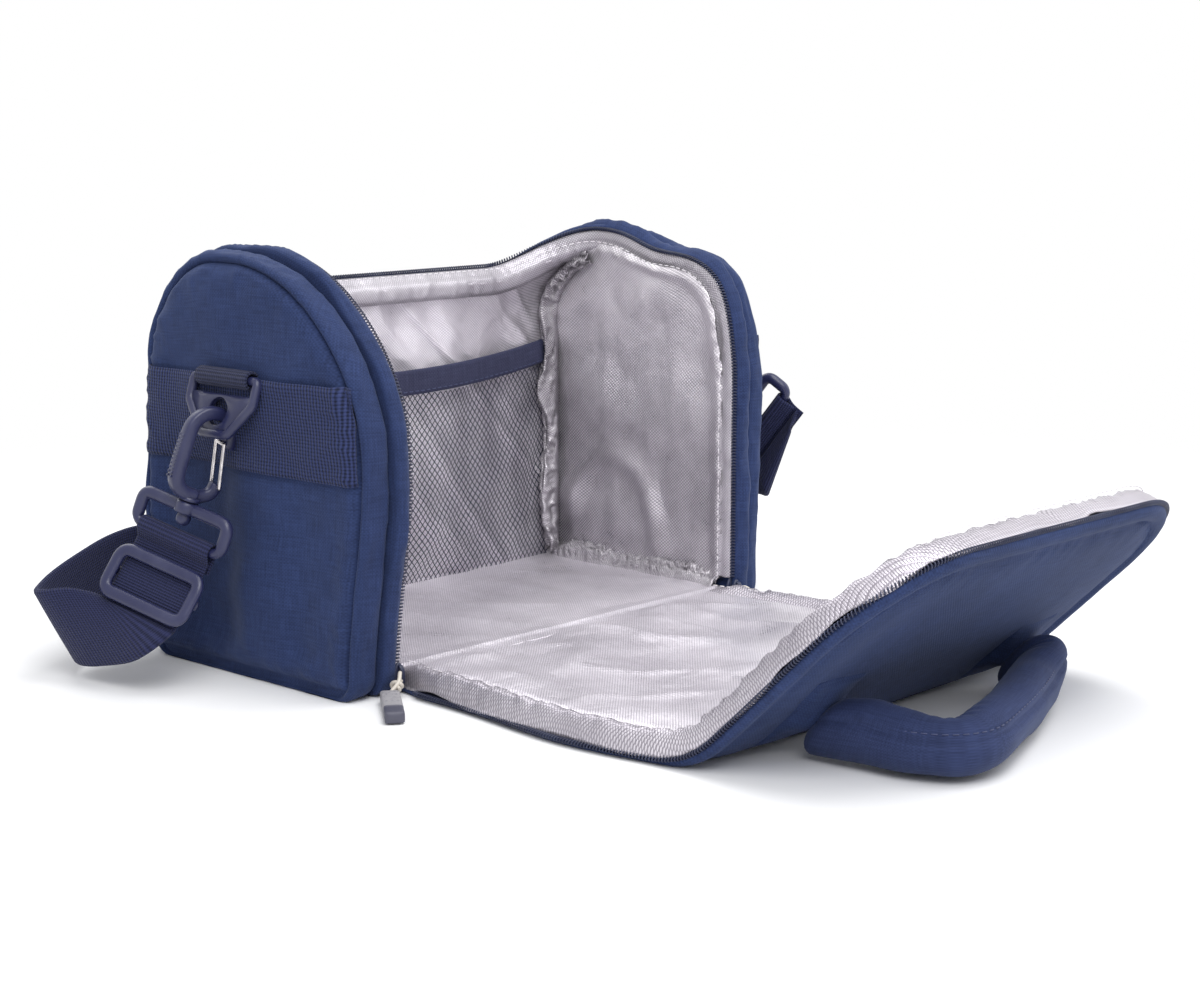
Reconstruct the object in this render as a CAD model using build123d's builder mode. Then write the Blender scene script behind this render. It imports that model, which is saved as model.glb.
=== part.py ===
"""Insulated vaccine carrier: a soft arched bag with foil lining, a zipped front flap
that folds over the top, a padded handle, and a webbing shoulder strap on swivel hooks.

Frame: X along the bag's length, the opening faces -Y, +Z up, origin at the centre of
the base on the ground.  Millimetres.  The flap is modelled open, its front panel flat
on the ground and its top panel standing up from the fold.
"""
from build123d import *
from math import cos, radians, sin
import os

os.makedirs("parts", exist_ok=True)

# --- bag body -------------------------------------------------------------------
body_half = 111.0        # bag centre to the zip line at each end
half_depth = 67.0        # bag centre to its front and back faces
height = 178.0           # ground to the top of the arch
front_radius = 72.0      # arch, front quarter
back_radius = 48.0       # arch, back quarter
skin = 1.2               # woven outer cloth with its seam allowance
foam = 6.0               # closed-cell insulation
lining = 0.8             # foil lining
board = 2.0              # stiffening board under the floor lining
foot_radius = 9.0        # bottom corners of the bands and caps
wall = skin + foam + lining

# --- end bands and padded end caps ----------------------------------------------
band_width = 8.0
cap_depth = 14.0
cap_inset = 5.0          # the cap stands in from the band all round
cap_lift = 0.5           # the cap's sewn edge clears the ground by this much
cap_rim = 5.0            # roundness of the cap's padded rim

# --- opening ----------------------------------------------------------------------
opening_back = 57.0      # Y of the opening's back edge, on the shoulder of the arch
opening_corner = 45.0    # plan radius of the opening's back corners
zip_width = 2.0          # one row of coil with its tape edge
zip_depth = 2.0
zip_gap = 1.6            # between the two coil rows when closed
gusset_start = 13.0      # where the corner gusset is first wide enough to sew

# --- flap ---------------------------------------------------------------------------
front_length = 162.0     # hinge to fold
top_length = 118.0       # fold to free end
top_corner = 48.0        # free end's corner radius
top_lean = 44.0          # the top panel's rest angle above the front panel, degrees
zip_lift = 0.6           # coil's outer face, in from the skin's outer face
bare_zip = 20.0          # no coil beside the hinge, where the sliders park
fabric_gap = 0.3         # between cloth faces of two moving bodies

# --- mesh pocket ---------------------------------------------------------------------
pocket_height = 104.0    # top of the binding, above the floor lining
binding_height = 11.0
binding_thick = 2.4
mesh_thick = 0.9
pocket_bow = 9.0         # how far the mesh bellies off the back wall

# --- webbing and its fittings ----------------------------------------------------
webbing = 38.0           # shoulder strap and end band width
webbing_thick = 1.4
band_centre = 109.0      # height of the end band's middle
tab_width = 34.0         # folded tab that holds the ring
tab_drop = 12.0          # sewn length of the tab below the ring's bar
ring_offset = -2.3        # Y of the ring
ring_height = 127.5      # Z of the ring's bar
bar_stand_off = 5.4      # ring's bar, out from the end band
bar_radius = 2.2
bar_clear = 0.3
ring_thick = 2.6
ring_wide = 43.0
ring_arm = 10.0          # straight sides below the bar
ring_low = 24.5          # bar to the ring's bottom edge
ring_foot = 17.0         # width of the ring's bottom edge
ring_slot = 4.5          # gap below the bar that the tab passes through
ring_hole_radius = 5.8
ring_hole_drop = 14.0    # bar to the hole's centre
ring_lean = 18.0         # the ring hangs this far out from the end cap, degrees

# --- swivel hook -------------------------------------------------------------------
hook_inside = 13.0       # clear width inside the bow
hook_reach = 28.0        # clear height inside the bow
bow_width = 5.5
base_width = 7.0
hook_thick = 5.5
mouth_low = 23.5         # gate side is open from here ...
mouth_high = 10.0        # ... up to the nose
stem_radius = 2.6
stem_clear = 0.3
knob_radius = 3.0
gate_wire = 0.8          # radius
gate_foot = 26.5         # pivot, below the bow's crown
gate_head = 8.5
gate_clear = 0.3
loop_inside = 41.0
loop_rod = 2.1           # radius of the swivel loop's rod
loop_drop = 13.2         # boss to the lower rod
loop_shoulder = 3.0      # corner radius of the loop
boss_radius = 4.4
boss_height = 5.0
boss_gap = 0.4           # between the boss and the hook's base or knob
hook_rise = 2.0          # the bow's square section bridges the round hole by this much
hook_shift = 0.3         # the bow stands this far off its middle, away from the end cap

# --- strap ends and slide adjuster ------------------------------------------------
tail_drop = 6.0          # webbing below the swivel loop before it leans out
tail_lean = 17.0         # degrees
slide_wide = 47.0
slide_high = 24.0
slide_bar = 5.0          # width of the slide's bars and rails
slide_centre_bar = 4.0
slide_thick = 2.6        # one bar's thickness
slide_clear = 0.35       # between the webbing and the bars
slide_place = 16.0       # bend to the slide's centre, along the webbing
tail_run = 29.0          # webbing beyond the bend
right_tail = 6.0         # sewn sleeve on the right swivel loop
strap_thick = 3.0        # two plies of webbing
strap_gap = 0.4          # between the strap and the tails it is sewn to

# --- handle ---------------------------------------------------------------------
handle_half = 66.0       # centre to each root
handle_root = 26.0       # root's middle, along the top panel from the fold
slack_corner = 68.0      # the path's slack left corner, out from its root
grip_wide = 21.0
grip_thick = 19.0
grip_straight = 10.0     # the path's taut right corner, out from its root
slack_bend = 17.0        # path radius at the slack corner
taut_bend = 12.0         # path radius at the taut corner
tab_thick = 1.6          # stitched-down root patch
tab_length = 30.0
tab_high = 42.0

# --- sliders and pulls -----------------------------------------------------------
slider_height = 11.0
slider_plate = 1.3
slider_play = 0.4        # clearance round the coils
slider_park = 3.0        # Z of a slider's bottom at rest
bail_radius = 1.0
pull_length = 34.0
pull_wide = 8.0
pull_thick = 5.0
cord_radius = 0.9
cord_aside = 10.0        # slider's bail to the pull's near end, along X
cord_ahead = 2.5         # and along -Y
cord_seat = 1.2          # the cord stops this far short of the pull's end face
knot_radius = 2.4

# --- derived places -----------------------------------------------------------------
hinge_y = -half_depth + wall                 # inner edge of the front panel's hinge
hinge_z = wall
fold_y = hinge_y - front_length
flap_half = body_half - zip_width - zip_gap  # outer edge of the flap's coil
panel_half = flap_half - zip_width           # outer edge of the flap's cloth
cap_base = body_half + band_width
cap_face = cap_base + cap_depth
band_face = cap_face + webbing_thick
ring_x = band_face + bar_stand_off
lean = radians(top_lean)
SIDES = {"left": -1, "right": 1}

front_plane = Plane((0, hinge_y, hinge_z), x_dir=(1, 0, 0), z_dir=(0, 0, -1))
top_plane = Plane((0, fold_y, hinge_z), x_dir=(1, 0, 0), z_dir=(0, -sin(lean), -cos(lean)))


def save(part, label):
    """Name a finished piece and write it to its own file."""
    part.label = label
    export_step(part, f"parts/{label}.step")


def arch(inset, lift, foot):
    """Arched outline in Y and Z, drawn in the current sketch, inset from the bag's outside."""
    front, back, top = inset - half_depth, half_depth - inset, height - inset
    front_r, back_r = front_radius - inset, back_radius - inset
    with BuildLine() as outline:
        Line((front, lift + foot), (front, top - front_r))
        CenterArc((front + front_r, top - front_r), front_r, 90, 90)
        Line((front + front_r, top), (back - back_r, top))
        CenterArc((back - back_r, top - back_r), back_r, 0, 90)
        Line((back, top - back_r), (back, lift + foot))
        CenterArc((back - foot, lift + foot), foot, 270, 90)
        Line((back - foot, lift), (front + foot, lift))
        CenterArc((front + foot, lift + foot), foot, 180, 90)
    make_face(outline.edges())


def opening_plan(grow):
    """Plan of the opening, drawn in the current sketch: square at the front, round behind."""
    half, back = body_half - zip_width + grow, opening_back + grow
    radius, start = opening_corner + grow, -half_depth - wall
    with BuildLine() as outline:
        Line((-half, start), (half, start))
        Line((half, start), (half, back - radius))
        CenterArc((half - radius, back - radius), radius, 0, 90)
        Line((half - radius, back), (radius - half, back))
        CenterArc((radius - half, back - radius), radius, 90, 90)
        Line((-half, back - radius), (-half, start))
    make_face(outline.edges())


# === back and roof of the bag ===================================================
def roof_layer(label, outer, thick):
    """One layer of the back wall, carried up over the shoulder to the opening's edge."""
    back, top, inner = half_depth - outer, height - outer, outer + thick
    centre = (half_depth - back_radius, height - back_radius)
    roof_start = opening_back - opening_corner + gusset_start
    with BuildPart() as layer:
        with BuildSketch(Plane.YZ):
            with BuildLine():
                Line((back, wall), (back, centre[1]))
                CenterArc(centre, back_radius - outer, 0, 90)
                Line((centre[0], top), (centre[0], top - thick))
                CenterArc(centre, back_radius - inner, 0, 90)
                Line((back - thick, centre[1]), (back - thick, wall))
                Line((back - thick, wall), (back, wall))
            make_face()
        extrude(amount=body_half, both=True)
        with BuildSketch(Plane.XY.offset(centre[1])):
            opening_plan(zip_width)
        extrude(amount=height, mode=Mode.SUBTRACT)
        with BuildSketch(Plane.XY.offset(centre[1])):
            with Locations((0, roof_start - height / 2)):
                Rectangle(2 * body_half, height)
        extrude(amount=height, mode=Mode.SUBTRACT)
    save(layer.part, label)


roof_layer("shell_back", 0, skin)
roof_layer("foam_back", skin, foam)
roof_layer("lining_back", skin + foam, lining)


# === floor ======================================================================
def floor_layer(label, low, thick):
    """One flat layer of the base, from the front hinge to the back face."""
    with BuildPart() as layer:
        with BuildSketch(Plane.XY.offset(low)):
            with Locations((0, (hinge_y + half_depth) / 2)):
                Rectangle(2 * body_half, half_depth - hinge_y)
        extrude(amount=thick)
    save(layer.part, label)


floor_layer("shell_base", 0, skin)
floor_layer("foam_base", skin, foam - board)
floor_layer("base_board", skin + foam - board, board)
with BuildPart() as lining_floor:
    with BuildSketch(Plane.XY.offset(skin + foam)):
        Rectangle(2 * body_half, 2 * (half_depth - wall))
    extrude(amount=lining)
save(lining_floor.part, "lining_floor")

# === coil on the bag ===============================================================
with BuildPart() as zip_body:
    with BuildSketch(Plane.YZ):
        arch(0, 0, foot_radius)
    extrude(amount=body_half, both=True)
    with BuildSketch(Plane.YZ):
        arch(zip_depth, -wall, foot_radius)
    extrude(amount=body_half, both=True, mode=Mode.SUBTRACT)
    with BuildSketch(Plane.XY.offset(hinge_z)):
        opening_plan(zip_width)
    extrude(amount=height, mode=Mode.INTERSECT)
    with BuildSketch(Plane.XY):
        opening_plan(0)
    extrude(amount=height, mode=Mode.SUBTRACT)
save(zip_body.part, "zip_coil_body")

# === mesh pocket ===============================================================
pocket_y = half_depth - wall - fabric_gap


def pocket_sheet(label, low, tall, thick):
    """Upright sheet bowed off the back wall, its ends sewn into the corners."""
    half = body_half - thick / 2
    with BuildPart() as sheet:
        with BuildSketch(Plane.XY.offset(wall + low)):
            with BuildLine():
                ThreePointArc((-half, pocket_y), (0, pocket_y - pocket_bow), (half, pocket_y))
                Line((half, pocket_y), (half, pocket_y - thick))
                ThreePointArc((half, pocket_y - thick), (0, pocket_y - pocket_bow - thick),
                              (-half, pocket_y - thick))
                Line((-half, pocket_y - thick), (-half, pocket_y))
            make_face()
        extrude(amount=tall)
    save(sheet.part, label)


pocket_sheet("mesh_pocket", 0, pocket_height - binding_height, mesh_thick)
pocket_sheet("pocket_binding", pocket_height - binding_height, binding_height, binding_thick)


# === ends of the bag =============================================================
def cap_block(side, inset, depth, rim):
    """Padded arch block on one end, its outer rim rounded."""
    with BuildPart() as block:
        with BuildSketch(Plane.YZ.offset(side * cap_base)):
            arch(inset, cap_lift + inset - cap_inset, foot_radius)
        extrude(amount=side * depth)
        rim_face = block.faces().sort_by(Axis.X)[0 if side < 0 else -1]
        fillet(rim_face.edges(), rim)
    return block.part


def end_pieces(name, side):
    """Lining, foam, band, padded cap and webbing band of one end."""
    with BuildPart() as lining_end:
        with BuildSketch(Plane.YZ.offset(side * body_half)):
            arch(wall, wall, foot_radius)
        extrude(amount=side * lining)
    save(lining_end.part, f"lining_end_{name}")

    with BuildPart() as foam_end:
        with BuildSketch(Plane.YZ.offset(side * (body_half + lining))):
            arch(skin, skin, foot_radius)
        extrude(amount=side * (band_width - lining))
    save(foam_end.part, f"foam_end_{name}")

    with BuildPart() as band:
        with BuildSketch(Plane.YZ.offset(side * body_half)):
            arch(0, 0, foot_radius)
        extrude(amount=side * band_width)
        with BuildSketch(Plane.YZ.offset(side * body_half)):
            arch(skin, skin, foot_radius)
        extrude(amount=side * band_width, mode=Mode.SUBTRACT)
    save(band.part, f"band_{name}")

    pad = cap_block(side, cap_inset + skin, cap_depth - skin, cap_rim - skin)
    cap = cap_block(side, cap_inset, cap_depth, cap_rim)
    with BuildPart() as end_cap:
        add(cap)
        add(pad, mode=Mode.SUBTRACT)
    save(end_cap.part, f"end_cap_{name}")
    save(pad, f"cap_pad_{name}")

    with BuildPart() as cap_band:
        add(cap_block(side, cap_inset - webbing_thick, cap_depth + webbing_thick,
                      cap_rim + webbing_thick))
        add(cap, mode=Mode.SUBTRACT)
        with BuildSketch(Plane.XY.offset(band_centre - webbing / 2)):
            with Locations((side * cap_face, 0)):
                Rectangle(2 * cap_face, 2 * half_depth)
        extrude(amount=webbing, mode=Mode.INTERSECT)
    save(cap_band.part, f"cap_band_{name}")

    with BuildPart() as tab:
        with BuildSketch(Plane.XZ.offset(-ring_offset)):
            eye = bar_radius + bar_clear + webbing_thick
            with Locations((side * ring_x, ring_height)):
                Circle(eye)
            with Locations((side * (band_face + bar_stand_off / 2), ring_height)):
                Rectangle(bar_stand_off, 2 * eye)
            with Locations((side * (band_face + webbing_thick), ring_height - tab_drop / 2)):
                Rectangle(2 * webbing_thick, tab_drop)
            with Locations((side * ring_x, ring_height)):
                Circle(bar_radius + bar_clear, mode=Mode.SUBTRACT)
        extrude(amount=tab_width / 2, both=True)
    save(tab.part, f"ring_tab_{name}")


for side_name, side_sign in SIDES.items():
    end_pieces(side_name, side_sign)


# === flap =====================================================================
def panel_outline(half, length, corner):
    """Flap panel in its own plane: a rectangle, its far corners round when corner is given."""
    with BuildLine() as outline:
        Line((-half, fabric_gap), (half, fabric_gap))
        if corner:
            Line((half, fabric_gap), (half, length - corner))
            CenterArc((half - corner, length - corner), corner, 0, 90)
            Line((half - corner, length), (corner - half, length))
            CenterArc((corner - half, length - corner), corner, 90, 90)
            Line((-half, length - corner), (-half, fabric_gap))
        else:
            Line((half, fabric_gap), (half, length))
            Line((half, length), (-half, length))
            Line((-half, length), (-half, fabric_gap))
    make_face(outline.edges())


def flap_layer(label, plane, deep, thick, trim, length, corner):
    """One layer of a flap panel, set in from the cloth's edge by trim."""
    with BuildPart() as layer:
        with BuildSketch(plane.offset(deep)):
            panel_outline(panel_half - trim, length - (trim if corner else 0),
                          corner - trim if corner else 0)
        extrude(amount=thick)
    save(layer.part, label)


for panel, plane, length, corner in (("front", front_plane, front_length, 0),
                                     ("top", top_plane, top_length - zip_width, top_corner)):
    flap_layer(f"flap_{panel}_lining", plane, 0, lining, 0, length, corner)
    flap_layer(f"flap_{panel}_foam", plane, lining, foam, skin, length, corner)
    flap_layer(f"flap_{panel}_shell", plane, lining + foam, skin, 0, length, corner)

with BuildPart() as front_zip:
    with BuildSketch(front_plane.offset(wall - zip_lift - zip_depth)):
        with Locations(((panel_half + flap_half) / 2, (bare_zip + front_length) / 2),
                       (-(panel_half + flap_half) / 2, (bare_zip + front_length) / 2)):
            Rectangle(zip_width, front_length - bare_zip)
    extrude(amount=zip_depth)
save(front_zip.part, "zip_coil_flap_front")

with BuildPart() as top_zip:
    with BuildSketch(top_plane.offset(wall - zip_lift - zip_depth)):
        panel_outline(flap_half, top_length, top_corner + zip_width)
    extrude(amount=zip_depth)
    with BuildSketch(top_plane.offset(wall - zip_lift - zip_depth)):
        panel_outline(panel_half, top_length - zip_width, top_corner)
    extrude(amount=zip_depth, mode=Mode.SUBTRACT)
save(top_zip.part, "zip_coil_flap_top")

# === handle ====================================================================
root_lift = wall + tab_thick + fabric_gap + grip_wide / 2
root_centre = top_plane.offset(root_lift).from_local_coords((0, handle_root, 0))
handle_plane = Plane(root_centre, x_dir=(1, 0, 0), z_dir=(0, 0, -1))
with BuildPart() as handle:
    with BuildLine(handle_plane):
        FilletPolyline((-handle_half, 0), (-handle_half, slack_corner), (handle_half, grip_straight),
                       (handle_half, 0), radius=(slack_bend, taut_bend))
    with BuildSketch(Plane(handle_plane.from_local_coords((-handle_half, 0)), x_dir=(1, 0, 0),
                           z_dir=handle_plane.y_dir)):
        Ellipse(grip_thick / 2, grip_wide / 2)
    sweep()
    for end_x in (-handle_half, handle_half):
        root = handle_plane.from_local_coords((end_x, 0))
        with BuildSketch(Plane(root, x_dir=(1, 0, 0), z_dir=handle_plane.y_dir)):
            Ellipse(grip_thick / 2, grip_wide / 2)
            with Locations((0, grip_wide / 2)):
                Rectangle(grip_thick, grip_wide, mode=Mode.INTERSECT)
        revolve(axis=Axis(root, (1, 0, 0)))
save(handle.part, "handle_grip")

with BuildPart() as handle_tabs:
    with BuildSketch(top_plane.offset(wall)):
        with Locations((-handle_half, handle_root), (handle_half, handle_root)):
            RectangleRounded(tab_length, tab_high, skin)
    extrude(amount=tab_thick)
save(handle_tabs.part, "handle_patches")


# === zip sliders and pulls =======================================================
def slider_pieces(name, side, direction):
    """Slider body on the bag's coil, its bail, and the pull lying on the ground."""
    edge_in, edge_out = panel_half + slider_play, body_half - slider_play
    coil_back = -half_depth + zip_lift + zip_depth + slider_play
    plate_y = -half_depth - slider_play - slider_plate
    post_x = side * (body_half - zip_width - zip_gap / 2)
    middle = side * (edge_in + edge_out) / 2
    with BuildPart() as slider:
        with BuildSketch(Plane.XY.offset(slider_park)):
            for face_y in (plate_y + slider_plate / 2, coil_back + slider_plate / 2):
                with Locations((middle, face_y)):
                    Rectangle(edge_out - edge_in, slider_plate)
            with Locations((post_x, (plate_y + coil_back) / 2 + slider_plate / 2)):
                Rectangle(zip_gap - 2 * slider_play, coil_back - plate_y)
        extrude(amount=slider_height)
        bail_z = slider_park + slider_height / 2
        with Locations(Location((post_x, plate_y - bail_radius / 2, bail_z), (0, 90, 0))):
            Cylinder(bail_radius, pull_thick)
    save(slider.part, f"slider_{name}")

    ahead = Vector(*direction, 0).normalized()
    bail = Vector(post_x, plate_y - 3 * bail_radius / 2 - cord_radius - slider_play, bail_z)
    tab_start = Vector(bail.X + side * cord_aside, bail.Y - cord_ahead, pull_thick / 2 + slider_play)
    run = tab_start - bail - ahead * cord_seat
    with BuildPart() as pull_loop:
        with Locations(Plane(bail + run * 0.5, z_dir=run)):
            Cylinder(cord_radius, run.length)
            Sphere(knot_radius)
    save(pull_loop.part, f"pull_loop_{name}")
    with BuildPart() as pull_tab:
        with BuildSketch(Plane(tab_start, x_dir=Vector(0, 0, 1).cross(ahead), z_dir=ahead)):
            RectangleRounded(pull_wide, pull_thick, skin)
        extrude(amount=pull_length)
    save(pull_tab.part, f"pull_tab_{name}")


slider_pieces("left", -1, (-0.62, -0.78))
slider_pieces("right", 1, (0.12, -0.99))


# === ring, hook, gate and swivel loop ============================================
def fitting_planes(side, up, facing, shift):
    """Frames of the ring, the hook hanging in it and the swivel loop under that.

    up runs from the swivel's boss to the ring, facing is the hook's width towards its
    gate before it is squared to up, and shift moves the bow back from its gate.
    """
    tilt = radians(ring_lean)
    bar = Vector(side * ring_x, ring_offset, ring_height)
    down = Vector(side * sin(tilt), 0, -cos(tilt))
    ring = Plane(bar, x_dir=(0, 1, 0), z_dir=Vector(0, 1, 0).cross(-down))
    pull = -up - ring.z_dir * ring.z_dir.dot(-up)
    seat = bar + down * ring_hole_drop + pull.normalized() * ring_hole_radius
    across = (facing - up * facing.dot(up)).normalized()
    hook = Plane(seat + up * hook_rise - across * shift, x_dir=across, z_dir=across.cross(up))
    boss = hook.origin - up * (hook_reach + base_width + boss_gap + boss_height / 2)
    return ring, hook, boss


def ring_piece(name, ring):
    """Plastic ring plate: a bar in the webbing tab, two arms and a plate with one hole."""
    with BuildPart() as piece:
        with BuildSketch(ring.offset(-ring_thick / 2)):
            with BuildLine():
                Polyline((-ring_wide / 2, 0), (-ring_wide / 2, -ring_arm), (-ring_foot / 2, -ring_low),
                         (ring_foot / 2, -ring_low), (ring_wide / 2, -ring_arm), (ring_wide / 2, 0),
                         close=True)
            make_face()
            with Locations((0, -(ring_slot + bar_radius) / 2)):
                Rectangle(tab_width + 1, ring_slot + bar_radius, mode=Mode.SUBTRACT)
            with Locations((0, -ring_hole_drop)):
                Circle(ring_hole_radius, mode=Mode.SUBTRACT)
        extrude(amount=ring_thick)
        with BuildSketch(Plane(ring.origin - ring.x_dir * (ring_wide / 2), z_dir=ring.x_dir)):
            Circle(bar_radius)
        extrude(amount=ring_wide)
    save(piece.part, f"ring_{name}")


def hook_piece(name, hook):
    """Snap hook: an open bow on a base, with a stem and knob through the swivel boss."""
    outside = hook_inside + 2 * bow_width
    tall = hook_reach + bow_width + base_width
    with BuildPart() as piece:
        with BuildSketch(hook.offset(-hook_thick / 2)):
            with Locations((0, bow_width - tall / 2)):
                SlotOverall(tall, outside, rotation=90)
            with Locations((0, -hook_reach / 2)):
                SlotOverall(hook_reach, hook_inside, rotation=90, mode=Mode.SUBTRACT)
            with Locations((outside / 2, -(mouth_low + mouth_high) / 2)):
                Rectangle(2 * bow_width, mouth_low - mouth_high, mode=Mode.SUBTRACT)
            with Locations((hook_inside / 2 + bow_width / 2, -gate_foot)):
                Circle(gate_wire + gate_clear, mode=Mode.SUBTRACT)
        extrude(amount=hook_thick)
        stem_top = hook.origin - hook.y_dir * (hook_reach + base_width / 2)
        stem = base_width / 2 + boss_height + 2 * boss_gap
        with BuildSketch(Plane(stem_top, z_dir=-hook.y_dir)):
            Circle(stem_radius)
        extrude(amount=stem + knob_radius)
        with Locations(stem_top - hook.y_dir * (stem + knob_radius)):
            Sphere(knob_radius)
    save(piece.part, f"hook_{name}")


def gate_piece(name, hook):
    """Wire gate: two legs beside the hook, a pin through its base and a head inside its nose."""
    foot = (hook_inside / 2 + bow_width / 2, -gate_foot)
    head = (hook_inside / 2 - gate_wire - gate_clear, -gate_head)
    side_z = hook_thick / 2 + gate_wire + gate_clear
    with BuildPart() as piece:
        for end in (foot, head):
            with BuildSketch(Plane(hook.from_local_coords((*end, -side_z)), z_dir=hook.z_dir)):
                Circle(gate_wire)
            extrude(amount=2 * side_z)
            with Locations(hook.from_local_coords((*end, -side_z)),
                           hook.from_local_coords((*end, side_z))):
                Sphere(gate_wire)
        for level in (-side_z, side_z):
            low = hook.from_local_coords((*foot, level))
            leg = hook.from_local_coords((*head, level)) - low
            with BuildSketch(Plane(low, z_dir=leg)):
                Circle(gate_wire)
            extrude(amount=leg.length)
    save(piece.part, f"hook_gate_{name}")


def swivel_piece(name, loop):
    """Swivel loop: a rod frame for the webbing with a bored boss in its top bar."""
    half = loop_inside / 2 + loop_rod
    with BuildPart() as piece:
        with BuildLine(loop):
            FilletPolyline((0, 0), (half, 0), (half, -loop_drop), (0, -loop_drop),
                           radius=loop_shoulder)
        with BuildSketch(Plane(loop.origin, z_dir=loop.x_dir)):
            Circle(loop_rod)
        sweep()
        mirror(about=Plane(loop.origin, z_dir=loop.x_dir))
        with BuildSketch(Plane(loop.origin - loop.y_dir * (boss_height / 2), z_dir=loop.y_dir)):
            Circle(boss_radius)
        extrude(amount=boss_height)
        with BuildSketch(Plane(loop.origin - loop.y_dir * (boss_height / 2), z_dir=loop.y_dir)):
            Circle(stem_radius + stem_clear)
        extrude(amount=boss_height, mode=Mode.SUBTRACT)
    save(piece.part, f"swivel_loop_{name}")


def tail_piece(label, loop, drop, run, lean_angle):
    """Webbing folded round the loop's lower rod, then run down and leaning out."""
    bend = radians(lean_angle)
    eye = loop_rod + bar_clear + webbing_thick
    end = (sin(bend) * run, -loop_drop - drop - cos(bend) * run)
    side_plane = Plane(loop.origin + loop.x_dir * (webbing / 2), x_dir=loop.z_dir, z_dir=-loop.x_dir)
    with BuildPart() as piece:
        with BuildSketch(side_plane):
            with Locations((0, -loop_drop)):
                Circle(eye)
            with BuildLine() as spine:
                Polyline((0, -loop_drop - loop_rod - bar_clear), (0, -loop_drop - drop), end)
            trace(spine.line, line_width=webbing_thick)
            with Locations((0, -loop_drop)):
                Circle(loop_rod + bar_clear, mode=Mode.SUBTRACT)
        extrude(amount=webbing)
    save(piece.part, label)
    run_plane = Plane(side_plane.from_local_coords((0, -loop_drop - drop)) - loop.x_dir * (webbing / 2),
                      x_dir=loop.x_dir,
                      z_dir=loop.x_dir.cross(loop.y_dir * cos(bend) - loop.z_dir * sin(bend)))
    return run_plane


def slide_piece(label, run_plane):
    """Three-bar slide: outer bars in front of the webbing, centre bar behind it."""
    half_gap = webbing_thick / 2 + slide_clear
    centre = -slide_place
    window = slide_high - 2 * slide_bar
    with BuildPart() as piece:
        with BuildSketch(run_plane.offset(half_gap)):
            with Locations((0, centre)):
                RectangleRounded(slide_wide, slide_high, slide_bar)
                Rectangle(slide_wide - 2 * slide_bar + 1, window, mode=Mode.SUBTRACT)
        extrude(amount=slide_thick)
        rail = (slide_wide - webbing) / 2 - slide_clear
        with BuildSketch(run_plane.offset(-half_gap - slide_thick)):
            with Locations((0, centre)):
                Rectangle(slide_wide - rail, slide_centre_bar)
        extrude(amount=slide_thick)
        with BuildSketch(run_plane.offset(-half_gap - slide_thick)):
            with Locations((-(slide_wide - rail) / 2, centre), ((slide_wide - rail) / 2, centre)):
                RectangleRounded(rail, window, skin)
        extrude(amount=slide_thick + 2 * half_gap)
    save(piece.part, label)


LEFT_UP = Vector(0.27, -0.19, 0.95).normalized()
LEFT_FACING = Vector(0.97, -0.24, 0)
LEFT_WIDTH = Vector(0.22, -0.94, -0.25)
RIGHT_UP = Vector(-0.34, 0.71, 0.61).normalized()
RIGHT_FACING = Vector(0.97, 0.20, 0)
RIGHT_WIDTH = Vector(0, 0.64, -0.77)

fittings = {"left": (LEFT_UP, LEFT_FACING, LEFT_WIDTH, hook_shift),
            "right": (RIGHT_UP, RIGHT_FACING, RIGHT_WIDTH, -hook_shift)}
loops = {}
for side_name, side_sign in SIDES.items():
    up, facing, width, shift = fittings[side_name]
    ring, hook, boss = fitting_planes(side_sign, up, facing, shift)
    ring_piece(side_name, ring)
    hook_piece(side_name, hook)
    gate_piece(side_name, hook)
    across = (width - up * width.dot(up)).normalized()
    outward = across.cross(up)
    loops[side_name] = Plane(boss, x_dir=across, z_dir=outward)
    swivel_piece(side_name, loops[side_name])

left_run = tail_piece("strap_tail_left", loops["left"], tail_drop, tail_run, tail_lean)
slide_piece("slide_adjuster", left_run)
right_run = tail_piece("strap_tail_right", loops["right"], right_tail / 2, right_tail, 0)
left_end = left_run.from_local_coords((0, -tail_run))
right_end = right_run.from_local_coords((0, -right_tail))

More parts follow.
